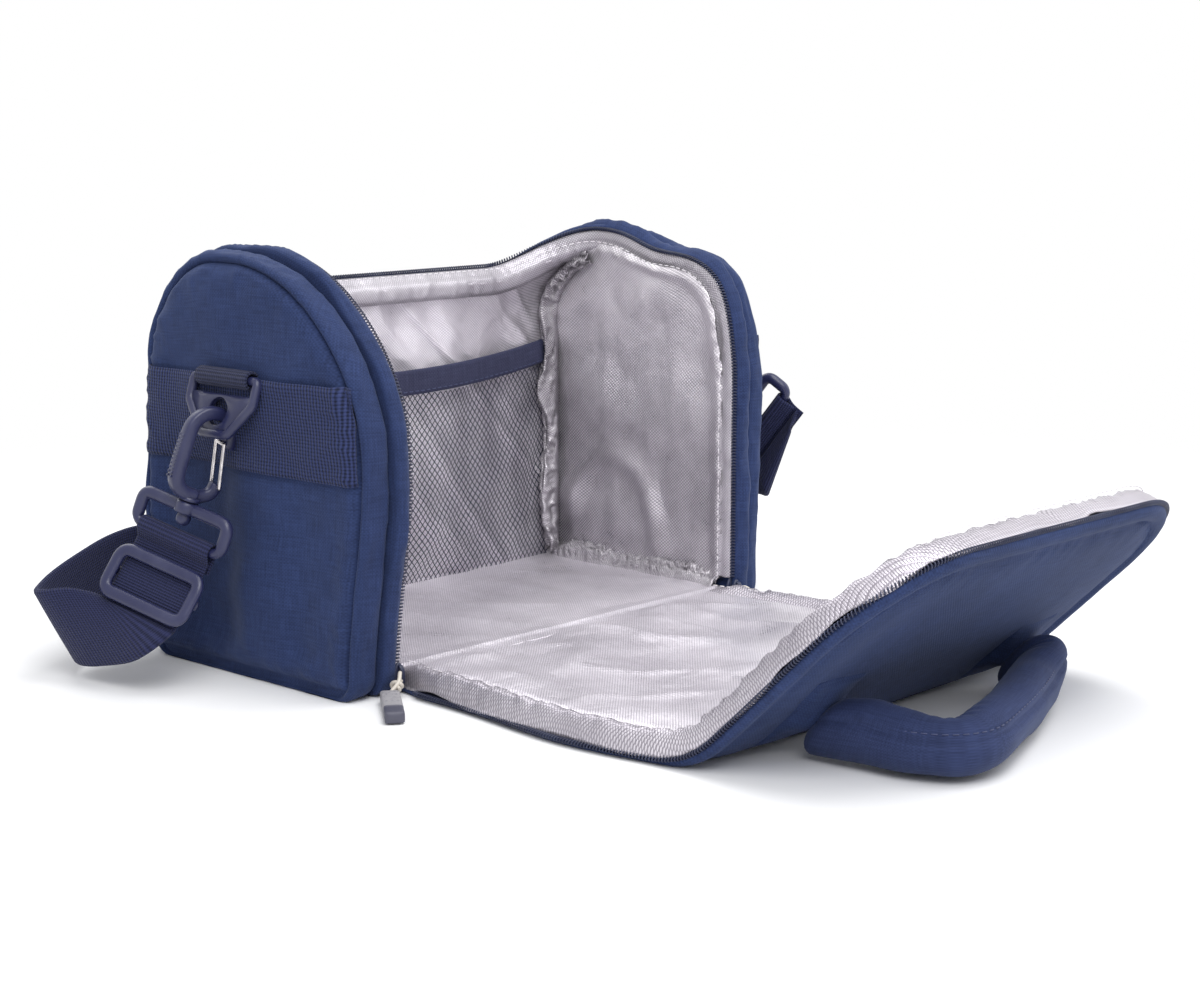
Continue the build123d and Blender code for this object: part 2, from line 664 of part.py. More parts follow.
# === shoulder strap ==============================================================
# Each station is a point on the strap's middle and the line across the strap there.
left_side, right_side = Vector(-body_half, 0, 0), Vector(body_half, 0, 0)
stations = [
    (left_end - left_run.y_dir * (strap_gap + strap_thick / 2), -left_run.x_dir),
    (left_side + Vector(-69, 17, 29), Vector(0.0, 0.86, 0.50)),
    (left_side + Vector(-72, 25, 27), Vector(-0.12, 0.68, 0.72)),
    (left_side + Vector(-75, 34, 26), Vector(-0.25, 0.48, 0.84)),
    (left_side + Vector(-78, 44, 24), Vector(-0.36, 0.30, 0.88)),
    (left_side + Vector(-78, 53, 23), Vector(-0.42, 0.16, 0.88)),
    (left_side + Vector(-72, 61, 23), Vector(-0.42, 0.10, 0.90)),
    (left_side + Vector(-62, 67, 26), Vector(-0.34, 0.10, 0.92)),
    (left_side + Vector(-47, 72, 30), Vector(-0.22, 0.10, 0.95)),
    (left_side + Vector(-31, 77, 34), Vector(-0.12, 0.08, 0.98)),
    (left_side + Vector(-13, 79, 36), Vector(-0.05, 0.05, 1.0)),
    (left_side + Vector(21, 76, 33), Vector(0, 0, 1)),
    (left_side + Vector(81, 71, 27), Vector(0, 0, 1)),
    (right_side + Vector(-71, 71, 24), Vector(0, 0, 1)),
    (right_side + Vector(-16, 76, 25), Vector(0, 0, 1)),
    (right_side + Vector(17, 82, 27), Vector(0, 0, 1)),
    (right_side + Vector(41, 72, 33), Vector(0, 0, 1)),
    (right_side + Vector(56, 48, 44), Vector(0, -0.05, 1)),
    (right_side + Vector(61, 18, 55), Vector(0, -0.15, 0.98)),
    (right_side + Vector(63, -14, 60), Vector(0, -0.25, 0.96)),
    (right_side + Vector(62, -37, 60), Vector(0, -0.34, 0.94)),
    (right_side + Vector(57, -45, 60), Vector(0, -0.34, 0.94)),
    (right_side + Vector(52, -49, 62), Vector(0, -0.42, 0.90)),
    (right_end - right_run.y_dir * (strap_gap + strap_thick / 2), -right_run.x_dir),
]


def strap_section(index):
    """Plane through one station's line across the strap, X through the strap's thickness."""
    here, wide = stations[index]
    before = stations[max(index - 1, 0)][0]
    after = stations[min(index + 1, len(stations) - 1)][0]
    wide = wide.normalized()
    through = wide.cross(after - before)
    return Plane(here, x_dir=through, z_dir=through.cross(wide))


with BuildPart() as shoulder_strap:
    for index in range(len(stations)):
        with BuildSketch(strap_section(index)):
            Rectangle(strap_thick, webbing)
    loft(ruled=True)
save(shoulder_strap.part, "shoulder_strap")
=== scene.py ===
"""Insulated vaccine carrier, dressed: cloth, foil lining, zips, webbing and fittings.

Lengths in this file are millimetres until a mesh is made; Blender works in metres.
X runs along the bag, the opening faces -Y, +Z is up, and the ground is Z = 0.
"""

import bpy
import bmesh
import math
import numpy as np
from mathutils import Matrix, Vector


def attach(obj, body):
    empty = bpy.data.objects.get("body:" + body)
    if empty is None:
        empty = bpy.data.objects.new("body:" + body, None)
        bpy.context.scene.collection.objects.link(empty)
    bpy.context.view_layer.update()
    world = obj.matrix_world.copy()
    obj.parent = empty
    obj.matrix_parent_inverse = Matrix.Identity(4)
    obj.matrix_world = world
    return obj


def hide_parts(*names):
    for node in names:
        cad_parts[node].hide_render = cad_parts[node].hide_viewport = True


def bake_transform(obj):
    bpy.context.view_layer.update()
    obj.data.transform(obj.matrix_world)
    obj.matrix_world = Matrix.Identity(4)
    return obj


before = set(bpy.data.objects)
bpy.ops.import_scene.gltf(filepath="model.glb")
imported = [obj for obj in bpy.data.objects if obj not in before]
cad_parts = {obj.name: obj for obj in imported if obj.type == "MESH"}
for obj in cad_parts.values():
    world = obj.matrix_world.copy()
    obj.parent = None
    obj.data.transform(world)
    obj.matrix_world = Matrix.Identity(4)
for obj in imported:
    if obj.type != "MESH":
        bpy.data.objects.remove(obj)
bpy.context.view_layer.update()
MM = 0.001
TAU = 2 * np.pi

# Sizes shared with the solids: the body's half length, half depth and height, then the rest
BODY, DEPTH, HEIGHT = 111.0, 67.0, 178.0
FRONT_R, BACK_R, FOOT = 72.0, 48.0, 9.0                  # the arch's quarter circles and its foot
FRONT_Y, FRONT_Z = FRONT_R - DEPTH, HEIGHT - FRONT_R     # middle of the front quarter
BACK_Y, BACK_Z = DEPTH - BACK_R, HEIGHT - BACK_R         # middle of the back quarter
BASE, FACE, FACE_Z = 119.0, 133.0, 84                    # X where an end pad starts and ends; its middle
OPEN_BACK, OPEN_R = 57.0, 45.0                           # the opening's back edge and its corners
HINGE_Y, FOLD, LEAN = -58.0, 162.0, math.radians(44)     # the flap's hinge, its fold and its rest angle
FLAP_LONG, FLAP_HALF, FLAP_THICK, CORNER = 280.0, 107.4, 8, 50.0
RING_X, RING_Z, RING_Y = 139.8, 127.5, -2.3              # middle of a ring's bar
PLATE_Z, BAND_Z = 8.4, 109                               # the floor's foil; middle of the end band
BAIL = np.array([108.2, -71.5, 8.5])                     # the right slider's bail
SEAM_IN, FOIL_IN = 5.0, 8.2                              # seam and foil, in from the arch
SEAM_X, SEAM_R = BODY - 3.0, 34.5                        # bunched seams inside the back corners
WEBBING, PLY = 37.6, 1.3
SLIDE_LEAN = math.radians(17)


# --- small tools
def side_name(side):
    """The word for a side, -1 or 1."""
    return "left" if side < 0 else "right"


def unit(v):
    """Each row of v divided by its own length."""
    v = np.asarray(v, float)
    return v / np.maximum(np.linalg.norm(v, axis=-1, keepdims=True), 1e-9)


def ease(low, high, x):
    """0 below low, 1 above high, and 3t^2 - 2t^3 between."""
    t = np.clip((np.asarray(x, float) - low) / (high - low), 0, 1)
    return t * t * (3 - 2 * t)


def bell(x, width):
    """A bell curve: 1 where x is 0, 0.37 at width, and soon nothing."""
    return np.exp(-(x / width) ** 2)


def circle(points):
    """Angles at equal steps once round."""
    return np.linspace(0, TAU, points, endpoint=False)


def xyz(*parts):
    """Coordinates put together, the last axis telling them apart. Plain numbers are spread."""
    return np.stack(np.broadcast_arrays(*parts), -1)


def ripple(p, size, seed):
    """Smooth wrinkles within +-1: six sine waves about size long, in fixed chance directions."""
    rng = np.random.default_rng(seed)
    aim = unit(rng.normal(size=(6, 3))) * TAU / (size * rng.uniform(0.7, 1.5, (6, 1)))
    phase = rng.uniform(0, TAU, 6)
    p = np.asarray(p, float)
    return np.sin(p @ aim.T + phase + 0.6 * np.sin(p @ aim[::-1].T)).sum(-1) / 3.2


def crease(p, size, seed):
    """Sharp folds from 0 to 1: one minus the size of a ripple, squared."""
    return (1 - np.abs(ripple(p, size, seed))).clip(0, 1) ** 2


def along(points):
    """Length run up to each point of a path."""
    step = np.linalg.norm(np.diff(points, axis=0), axis=1)
    return np.concatenate([[0], np.cumsum(step)])


def resample(points, count, *others):
    """Points at equal steps of length along a path, and other rows read at the same places."""
    s = along(points)
    t = np.linspace(0, s[-1], count)
    read = [np.stack([np.interp(t, s, a[:, k]) for k in range(a.shape[1])], 1)
            for a in (points, *others)]
    return read if others else read[0]


def rounded(points, passes=3):
    """An open path with its corners cut at the quarters, passes times over."""
    p = np.asarray(points, float)
    for _ in range(passes):
        a, b = p[:-1] * 0.75 + p[1:] * 0.25, p[:-1] * 0.25 + p[1:] * 0.75
        p = np.concatenate([p[:1], np.stack([a, b], 1).reshape(-1, p.shape[1]), p[-1:]])
    return p


def slope(path):
    """Unit tangents of a path."""
    return unit(np.gradient(path, axis=0))


def placed(name, data):
    """An object in the scene that holds some data."""
    obj = bpy.data.objects.new(name, data)
    bpy.context.scene.collection.objects.link(obj)
    return obj


def make(name, verts, quads, uv=None, merge=False):
    """A smooth-shaded mesh object from points in mm and rows of corner numbers."""
    mesh = bpy.data.meshes.new(name)
    quads = np.asarray(quads, np.int32)
    mesh.vertices.add(len(verts))
    mesh.vertices.foreach_set("co", (np.asarray(verts) * MM).astype(np.float32).ravel())
    mesh.loops.add(quads.size)
    mesh.polygons.add(len(quads))
    mesh.loops.foreach_set("vertex_index", quads.ravel())
    mesh.polygons.foreach_set("loop_start", np.arange(0, quads.size, quads.shape[1], dtype=np.int32))
    if uv is not None:
        mesh.uv_layers.new(name="UVMap").data.foreach_set(
            "uv", (np.asarray(uv) * MM).astype(np.float32).ravel())
    mesh.update(calc_edges=True)
    mesh.shade_smooth()
    mesh.validate()
    if merge:
        bm = bmesh.new()
        bm.from_mesh(mesh)
        bmesh.ops.remove_doubles(bm, verts=bm.verts, dist=1e-5)
        if all(len(e.link_faces) == 2 for e in bm.edges):
            bmesh.ops.recalc_face_normals(bm, faces=bm.faces)
        bm.to_mesh(mesh)
        bm.free()
    return placed(name, mesh)


def surface(name, grid, ring=False, flip=False, merge=False, flat=None):
    """A grid of points made a quad mesh. ring joins the last column to the first.
    The UV map holds the lengths run along the middle row and the middle column, or the
    places of a flat pattern given for every point."""
    grid = np.asarray(grid, float)
    rows, cols = grid.shape[:2]
    wide = np.concatenate([grid, grid[:, :1]], 1) if ring else grid
    u, v = along(wide[rows // 2]), along(grid[:, cols // 2])
    i, j = np.meshgrid(np.arange(rows - 1), np.arange(wide.shape[1] - 1), indexing="ij")
    corners = [(i, j), (i, j + 1), (i + 1, j + 1), (i + 1, j)]
    if flip:
        corners = corners[::-1]
    quads = np.stack([a * cols + b % cols for a, b in corners], -1).reshape(-1, 4)
    uv = np.stack([xyz(u[b], v[a]) for a, b in corners], -2).reshape(-1, 2)
    if flat is not None:
        uv = np.asarray(flat, float).reshape(-1, 2)[quads.ravel()]
    return make(name, grid.reshape(-1, 3), quads, uv, merge)


def sweep(name, path, across, up, section, size=None, loop=False):
    """A closed section (across, up) carried along a path and scaled by size as it goes.
    Its two ends are drawn to a point, or meet where the path is a loop."""
    path, section = np.asarray(path, float), np.asarray(section, float)
    size = np.ones((len(path), 2)) if size is None else np.asarray(size, float)
    a, b = (section[None, :, k] * size[:, k, None] for k in (0, 1))
    grid = path[:, None] + a[..., None] * across[:, None] + b[..., None] * up[:, None]
    if loop:
        grid = np.concatenate([grid, grid[:1]])
    else:
        first, last = grid[:1].mean(1, keepdims=True), grid[-1:].mean(1, keepdims=True)
        grid = np.concatenate([first.repeat(grid.shape[1], 1), grid, last.repeat(grid.shape[1], 1)])
    return surface(name, grid, ring=True, merge=True)


def ribbon(name, path, wide, section):
    """A section carried along an open path, its first axis held along wide."""
    wide = np.broadcast_to(wide, path.shape)
    return sweep(name, path, wide, np.cross(slope(path), wide), section)


def bent_rod(name, path, normal, section, loop=False, size=None):
    """A section carried along a path that is bent in the plane across normal."""
    t = unit(np.roll(path, -1, 0) - np.roll(path, 1, 0)) if loop else slope(path)
    n = np.tile(normal, (len(path), 1))
    return sweep(name, path, np.cross(n, t), n, section, size=size, loop=loop)


def turned(name, place, axis, profile, points=28, flip=False):
    """A turned shape: radius and height pairs spun round an axis through place."""
    axis = unit(np.asarray(axis, float))
    side = unit(np.cross(axis, (0.3, 0.5, 0.8)))
    other = np.cross(axis, side)
    a = circle(points)
    r, h = np.asarray(profile, float).T
    grid = (np.asarray(place, float) + (side[None, None] * np.cos(a)[None, :, None]
            + other[None, None] * np.sin(a)[None, :, None]) * r[:, None, None] + axis * h[:, None, None])
    return surface(name, grid, ring=True, flip=flip, merge=True)


def strip_section(width, thick, bow=0.0, points=10):
    """Outline of webbing: a flat oblong with half-round edges, thickened by bow in the middle."""
    t = np.linspace(-1, 1, points)
    edge = np.linspace(-np.pi / 2, np.pi / 2, 5)[1:-1]
    half, r = width / 2 - thick / 2, thick / 2
    top = xyz(t * half, r + bow * (1 - t ** 2))
    right = xyz(half + r * np.cos(edge[::-1]), r * np.sin(edge[::-1]))
    bottom = xyz(-t * half, -r - bow * (1 - t ** 2))
    left = xyz(-half - r * np.cos(edge[::-1]), -r * np.sin(edge[::-1]))
    return np.concatenate([top, right, bottom, left])


def round_section(a, b, points=16, power=1):
    """Outline of a tube: an ellipse with half axes a and b, and squarer as power falls."""
    c, s = np.cos(-circle(points)), np.sin(-circle(points))
    return xyz(np.sign(c) * np.abs(c) ** power * a, np.sign(s) * np.abs(s) ** power * b)


def mark(obj, name, values):
    """A number kept for every point of a mesh, for its material to read."""
    obj.data.attributes.new(name, "FLOAT", "POINT").data.foreach_set(
        "value", np.asarray(values, np.float32).ravel())


def thicken(obj, thick, offset=-1.0):
    """Gives a sheet its thickness, in mm."""
    m = obj.modifiers.new("thick", "SOLIDIFY")
    m.thickness, m.offset = thick * MM, offset
    bpy.context.view_layer.update()
    graph = bpy.context.evaluated_depsgraph_get()
    mesh = bpy.data.meshes.new_from_object(obj.evaluated_get(graph))
    obj.modifiers.clear()
    obj.data = mesh
    return obj


def layer(name, grid, thick, offset=-1.0, **more):
    """A surface given its thickness."""
    return thicken(surface(name, grid, **more), thick, offset)


def joined(name, objs):
    """Several meshes made one piece."""
    bm = bmesh.new()
    for o in objs:
        bm.from_mesh(o.data)
    mesh = bpy.data.meshes.new(name)
    bm.to_mesh(mesh)
    bm.free()
    for o in objs:
        bpy.data.objects.remove(o)
    return placed(name, mesh)


def dress(obj, finish, body, replaces=(), blend=None):
    """Sets a piece's material, the body it rides on and the solids it stands for."""
    obj.data.materials.clear()
    obj.data.materials.append(finish)
    if blend:
        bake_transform(obj)
    else:
        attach(obj, body)
    if replaces:
        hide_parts(*replaces)
    return obj


# --- shader sums
class Mix:
    """One material under construction; node() adds any node and surface() the shader."""

    def __init__(self, name):
        self.made = bpy.data.materials.new(name)
        self.made.use_nodes = True
        self.tree = self.made.node_tree
        self.tree.nodes.clear()

    def node(self, kind, settings=None, out=0, **values):
        """Adds a node; settings come first, then each value or link goes to its socket, which
        is given by its name, or by its number as i0, i1 and so on."""
        n = self.tree.nodes.new("ShaderNode" + kind)
        for key, value in (settings or {}).items():
            setattr(n, key, value)
        for key, value in values.items():
            socket = n.inputs[int(key[1:]) if key[1:].isdigit() else key.replace("_", " ")]
            if isinstance(value, Socket):
                self.tree.links.new(value.socket, socket)
            else:
                socket.default_value = value
        return Socket(self, n.outputs[out])

    def colours(self, factor, first, second):
        """A colour between two, by factor."""
        return self.node("Mix", {"data_type": "RGBA"}, 2, i0=factor, i6=full(first), i7=full(second))

    def surface(self, **sockets):
        """The Principled shader with these sockets, linked to the output."""
        shader = self.node("BsdfPrincipled", None, 0, **sockets)
        end = self.tree.nodes.new("ShaderNodeOutputMaterial")
        self.tree.links.new(shader.socket, end.inputs["Surface"])
        return self.made


def full(colour):
    """A colour with its alpha, or the link itself."""
    return colour if isinstance(colour, Socket) else (*colour, 1)


class Socket:
    """A number in a shader: the usual signs add Math nodes."""

    def __init__(self, mix, socket):
        self.mix, self.socket = mix, socket

    def sum(self, operation, a, b=0.0):
        """One Math node."""
        return self.mix.node("Math", {"operation": operation}, 0, i0=a, i1=b)

    def __add__(self, other): return self.sum("ADD", self, other)
    __radd__ = __add__
    def __sub__(self, other): return self.sum("SUBTRACT", self, other)
    def __rsub__(self, other): return self.sum("SUBTRACT", other, self)
    def __mul__(self, other): return self.sum("MULTIPLY", self, other)
    __rmul__ = __mul__
    def __abs__(self): return self.sum("ABSOLUTE", self)
    def sin(self): return self.sum("SINE", self)
    def least(self, other): return self.sum("MINIMUM", self, other)
    def power(self, other): return self.sum("POWER", self, other)

    def span(self, low, high, to_low=0.0, to_high=1.0):
        """This number carried from one range to another, with soft ends."""
        return self.mix.node("MapRange", {"interpolation_type": "SMOOTHSTEP"}, 0, Value=self,
                             From_Min=low, From_Max=high, To_Min=to_low, To_Max=to_high)


def places(mix, own_map=False):
    """The three coordinates of a point in mm, of the object or of the piece's own map."""
    where = mix.node("TexCoord", None, 2 if own_map else 3)
    split = mix.tree.nodes.new("ShaderNodeSeparateXYZ")
    mix.tree.links.new(where.socket, split.inputs[0])
    return where, [Socket(mix, o) * 1000.0 for o in split.outputs]


def speckle(mix, where, scale, detail=3.0, rough=0.6, stretch=None):
    """Noise at so many features a metre, stretched along the axes where asked."""
    if stretch:
        where = mix.node("Mapping", None, 0, Vector=where, Scale=stretch)
    return mix.node("TexNoise", None, 0, Vector=where, Scale=scale, Detail=detail, Roughness=rough)


def bumped(mix, height, distance, strength=1.0):
    """A normal bent by a height, whose whole step is distance in metres."""
    return mix.node("Bump", None, 0, Height=height, Distance=distance, Strength=strength)


def woven(name, light, dark, pitch=0.75, depth=0.00012):
    """Plain-woven cloth: threads over and under each way, with slubs and a soft sheen."""
    m = Mix(name)
    where, (u, v, _) = places(m, True)
    spot, _ = places(m)
    warp, weft = (u * (TAU / 2 / pitch)).sin(), (v * (TAU / 2 / pitch)).sin()
    weave = (warp * weft) * 0.5 + 0.5
    slub_u = speckle(m, where, 1.0, 2.0, 0.5, (1500.0, 90.0, 1.0))
    slub_v = speckle(m, where, 1.0, 2.0, 0.5, (90.0, 1500.0, 1.0))
    cloud = speckle(m, spot, 22.0)
    tone = slub_u * 0.45 + slub_v * 0.45 + cloud * 0.35 + weave * 0.18 - 0.25
    colour = m.colours(tone.span(0.15, 0.9), dark, light)
    height = weave * 0.6 + slub_u * 0.5 + slub_v * 0.5
    return m.surface(Base_Color=colour, Roughness=(0.92 - tone * 0.2).least(0.82 + 0.1),
                     Normal=bumped(m, height, depth), Sheen_Weight=0.12,
                     Sheen_Roughness=0.45, Sheen_Tint=(0.50, 0.58, 0.80, 1), Specular_IOR_Level=0.25)


def foil(name, light=(0.93, 0.89, 0.95), dark=(0.33, 0.305, 0.350), tone_drop=0.0, pitch=1.6, painted_light_by_height=0.0,
         hem=0.0):
    """Foil laminated on a scrim: bright metal, a diamond grain, and crumpling at two sizes
    that bends the light, with painted shade in its hollows and painted light on its crests. The height
    term paints light high up and shade towards the ground, and hem darkens the strip between a sheet's edge and
    its stitches."""
    m = Mix(name)
    _, (u, v, _) = places(m, True)
    spot, axes = places(m)
    one, two = ((u + v * 1.15) * (TAU / 2 / pitch)).sin(), ((u - v * 1.15) * (TAU / 2 / pitch)).sin()
    bead = (abs(one) * abs(two)).span(0.10, 0.62)
    crumple = speckle(m, spot, 55.0, 4.0, 0.6)
    broad = speckle(m, spot, 13.0, 1.0, 0.4, (1.0, 1.0, 0.45))
    # crumple and broad in the tone paint shade in the crumpling's hollows and light on its crests; the last
    # term lowers the whole tone by a set amount
    tone = bead * 0.46 + crumple.span(0.30, 0.70) * 0.16 + broad.span(0.30, 0.70) * 0.26 + (0.14 - tone_drop)
    # painted light and shade: brighter higher up the piece, darker towards the ground
    if painted_light_by_height:
        tone = tone + axes[2].span(50.0, 160.0, -0.4 * painted_light_by_height, painted_light_by_height)
    if hem:
        inset = m.node("Attribute", {"attribute_name": "inset"}, 2)
        tone = tone - inset.span(9.2, 10.8, 1.0, 0.0) * (bead * -0.5 + 1.0) * hem
    colour = m.colours(tone, dark, light)
    height = bead * 0.00014 + crumple * 0.0018 + broad * 0.006
    return m.surface(Base_Color=colour, Metallic=0.62, Roughness=(0.24 + bead * 0.10 + crumple * 0.10),
                     Normal=bumped(m, height, 1.0, 0.9), Specular_IOR_Level=0.6)


def belt(name, light, dark, rib=1.5, cell=1.2, rough=0.75, upright=False):
    """Webbing: ribs across its length, broken into small cells by the warp. upright is for a
    map whose U runs along the webbing."""
    m = Mix(name)
    where, (u, v, _) = places(m, True)
    if upright:
        u, v = v, u
    ribs = (v * (TAU / rib)).sin() * 0.5 + 0.5
    cells = abs((u * (TAU / 2 / cell)).sin())
    fuzz = speckle(m, where, 900.0, 2.0)
    height = ribs * 0.8 + cells * 0.5 + fuzz * 0.3
    colour = m.colours((height * 0.55 + fuzz * 0.25).span(0.15, 0.95), dark, light)
    return m.surface(Base_Color=colour, Roughness=rough, Normal=bumped(m, height, 0.0004),
                     Sheen_Weight=0.06, Sheen_Roughness=0.5, Specular_IOR_Level=0.18)


def plastic(name, colour, rough=0.42, worn=(0.2, 0.2, 0.26)):
    """Moulded plastic: a fine spark-eroded grain, faint flow marks and rubbed spots."""
    m = Mix(name)
    spot, _ = places(m)
    grain, flow = speckle(m, spot, 2600.0, 2.0), speckle(m, spot, 55.0, 3.0, 0.6, (1.0, 1.0, 0.35))
    tone = flow.span(0.42, 0.72)
    shade = m.colours(tone, colour, worn)
    return m.surface(Base_Color=shade, Roughness=(flow * 0.2 + (rough - 0.08)),
                     Normal=bumped(m, grain + flow * 2.0, 0.00005), Specular_IOR_Level=0.5)


def metal(name, colour, rough=0.25):
    """Plated wire: bright, with fine drawn lines and dull spots."""
    m = Mix(name)
    spot, _ = places(m)
    lines = speckle(m, spot, 1.0, 2.0, 0.5, (300.0, 300.0, 4000.0))
    spots = speckle(m, spot, 180.0, 3.0)
    shade = m.colours(spots.span(0.4, 0.7), colour, tuple(c * 0.7 for c in colour))
    return m.surface(Base_Color=shade, Metallic=1.0, Roughness=(lines * 0.1 + spots * 0.15 + (rough - 0.1)),
                     Normal=bumped(m, lines, 0.00002))


def two_tone(name, face, end, length):
    """Moulded rubber: a rubbed, pale face for the first length of it in mm, then a dark end."""
    m = Mix(name)
    spot, _ = places(m)
    _, (_, v, _) = places(m, True)
    worn = speckle(m, spot, 700.0, 3.0)
    shade = m.colours(v.span(length - 0.6, length + 0.6), face, end)
    shade = m.colours(worn.span(0.5, 0.75, 0.0, 0.5), shade, end)
    return m.surface(Base_Color=shade, Roughness=(worn * 0.2 + 0.45), Normal=bumped(m, worn, 0.0001))


def netting(name, colour, pitch):
    """Open net: strands crossing at a slant, with nothing between them."""
    m = Mix(name)
    _, (u, v, _) = places(m, True)
    one = abs(((u * 0.8 + v) * (TAU / 2 / pitch)).sin())
    two = abs(((u * 0.8 - v) * (TAU / 2 / pitch)).sin())
    gap = one.least(two)
    return m.surface(Base_Color=(*colour, 1), Roughness=0.6, Alpha=gap.span(0.26, 0.36, 1.0, 0.0),
                     Specular_IOR_Level=0.4, Normal=bumped(m, gap, -0.0004))


cloth = woven("navy cloth", (0.034, 0.059, 0.172), (0.012, 0.021, 0.064))
grip_cloth = woven("handle cloth", (0.038, 0.056, 0.150), (0.016, 0.024, 0.068), 0.6, depth=0.00005)
trim = woven("navy trim", (0.052, 0.055, 0.110), (0.020, 0.022, 0.050), 0.9)
silver = foil("silver foil")
silver_flap = foil("flap foil", hem=0.62)
# painted shade: a darker copy of the foil for the ends, with painted light high up and painted shade low down
silver_end_shaded = foil("end foil painted shade", (0.93, 0.89, 0.94), (0.14, 0.13, 0.16), 0.10, 1.8, 0.42)
silver_edge = foil("edge foil", (0.80, 0.77, 0.82), (0.24, 0.22, 0.26), 0.04)
# painted shade: a darker copy of the foil for the bunched seams in the inside corners
silver_fold_shaded = foil("folded foil painted shade", (0.78, 0.75, 0.79), (0.09, 0.08, 0.10), 0.10)
strap_cloth = belt("strap webbing", (0.027, 0.032, 0.094), (0.006, 0.008, 0.027), 1.2, 1.1)
band_cloth = belt("band webbing", (0.034, 0.048, 0.140), (0.003, 0.005, 0.018), 1.7, 1.4, upright=True)
coil_finish = plastic("zip coil", (0.018, 0.022, 0.055), 0.4, (0.04, 0.05, 0.10))
hard = plastic("fitting plastic", (0.018, 0.021, 0.070), 0.30, (0.036, 0.040, 0.095))
wire = metal("gate wire", (0.72, 0.68, 0.68))
cream = plastic("slider enamel", (0.62, 0.57, 0.50), 0.4, (0.74, 0.70, 0.64))
thread = plastic("silver thread", (0.80, 0.76, 0.80), 0.5, (0.9, 0.88, 0.9))
navy_thread = plastic("navy thread", (0.035, 0.045, 0.11), 0.55, (0.05, 0.06, 0.14))
net_finish = netting("pocket net", (0.016, 0.020, 0.045), 3.2)
pull_rubber = two_tone("pull rubber", (0.30, 0.29, 0.31), (0.07, 0.07, 0.10), 28.0)

# --- arch outline
STEPS = (44, 56, 8, 38, 60, 8, 58, 8)


def arch(inset, lift):
    """Y and Z round the arch, set in by inset and raised by lift: the front, its quarter
    circle, the top, the back quarter, the back, a foot, the base, and the other foot."""
    inset, lift = (np.asarray(a, float)[..., None] for a in (inset, lift))
    front, back, top = inset - DEPTH, DEPTH - inset, HEIGHT - inset
    fr, br = FRONT_R - inset, BACK_R - inset
    t = [np.arange(n) / n for n in STEPS]
    turn = [a * np.pi / 2 for a in t]
    low, high_f, high_b = lift + FOOT, top - fr, top - br
    y = [front + 0 * t[0], front + fr - fr * np.cos(turn[1]), front + fr + (back - br - front - fr) * t[2],
         back - br + br * np.sin(turn[3]), back + 0 * t[4], back - FOOT + FOOT * np.cos(turn[5]),
         back - FOOT + (front - back + 2 * FOOT) * t[6], front + FOOT - FOOT * np.sin(turn[7])]
    z = [low + (high_f - low) * t[0], high_f + fr * np.sin(turn[1]), top + 0 * t[2],
         high_b + br * np.cos(turn[3]), high_b + (low - high_b) * t[4], low - FOOT * np.sin(turn[5]),
         lift + 0 * t[6], low - FOOT * np.cos(turn[7])]
    return np.concatenate(y, -1), np.concatenate(z, -1)


def inside(y, z):
    """How far a point lies inside the arch outline."""
    d = np.minimum(np.minimum(DEPTH - np.abs(y), z), HEIGHT - z)
    front = (y < FRONT_Y) & (z > FRONT_Z)
    back = (y > BACK_Y) & (z > BACK_Z)
    d = np.where(front, FRONT_R - np.hypot(y - FRONT_Y, z - FRONT_Z), d)
    return np.where(back, BACK_R - np.hypot(y - BACK_Y, z - BACK_Z), d)


def arch_up(y, z):
    """Outward direction of the arch at a point of its outline, as rows of X, Y, Z."""
    y, z = np.asarray(y, float), np.asarray(z, float)
    front, back = y < FRONT_Y, y > BACK_Y
    ny = np.where(front, np.where(z < FRONT_Z, -1.0, (y - FRONT_Y) / FRONT_R), 0.0)
    nz = np.where(front, np.where(z < FRONT_Z, 0.0, (z - FRONT_Z) / FRONT_R), 1.0)
    ny = np.where(back, np.where(z < BACK_Z, 1.0, (y - BACK_Y) / BACK_R), ny)
    nz = np.where(back, np.where(z < BACK_Z, 0.0, (z - BACK_Z) / BACK_R), nz)
    return unit(xyz(0, ny, nz))


def settled(p):
    """The open bag's own lean, as bell curves of the distance from each one's middle: the left
    end bellies to the front and its back shoulder droops, the right shoulder squares off, its
    rim closes up, and the roof beside it sinks."""
    p = np.array(p, float)
    x, y, z = p[..., 0].copy(), p[..., 1].copy(), p[..., 2].copy()
    front = ease(20, -60, y)
    left = ease(-50, -BODY, x) * (0.25 + 0.75 * front) * bell(z - 92, 56)
    right = ease(20, BODY, x)
    shoulder = right * np.exp(-((y + 50) / 24) ** 2 - ((z - 151) / 24) ** 2)
    roof = right * np.exp(-((y + 14) / 19) ** 2 - ((z - 172) / 20) ** 2)
    rim = ease(118, 132, x) * ease(-30, -60, y)
    back = ease(10, 50, y) * ease(-112, -130, x)
    droop = back * bell(z - 160, 28)
    p[..., 0] -= rim * (1.8 + 2.2 * ease(80, 40, z) + 2.4 * bell(z - 150, 25))
    p[..., 1] += back * 5.0 * bell(z - 72, 22) - 2.8 * droop - 11.5 * left - 5.0 * shoulder
    p[..., 2] += 4.5 * shoulder * (1 - 0.8 * rim) - 6.0 * roof - 2.5 * droop
    return p


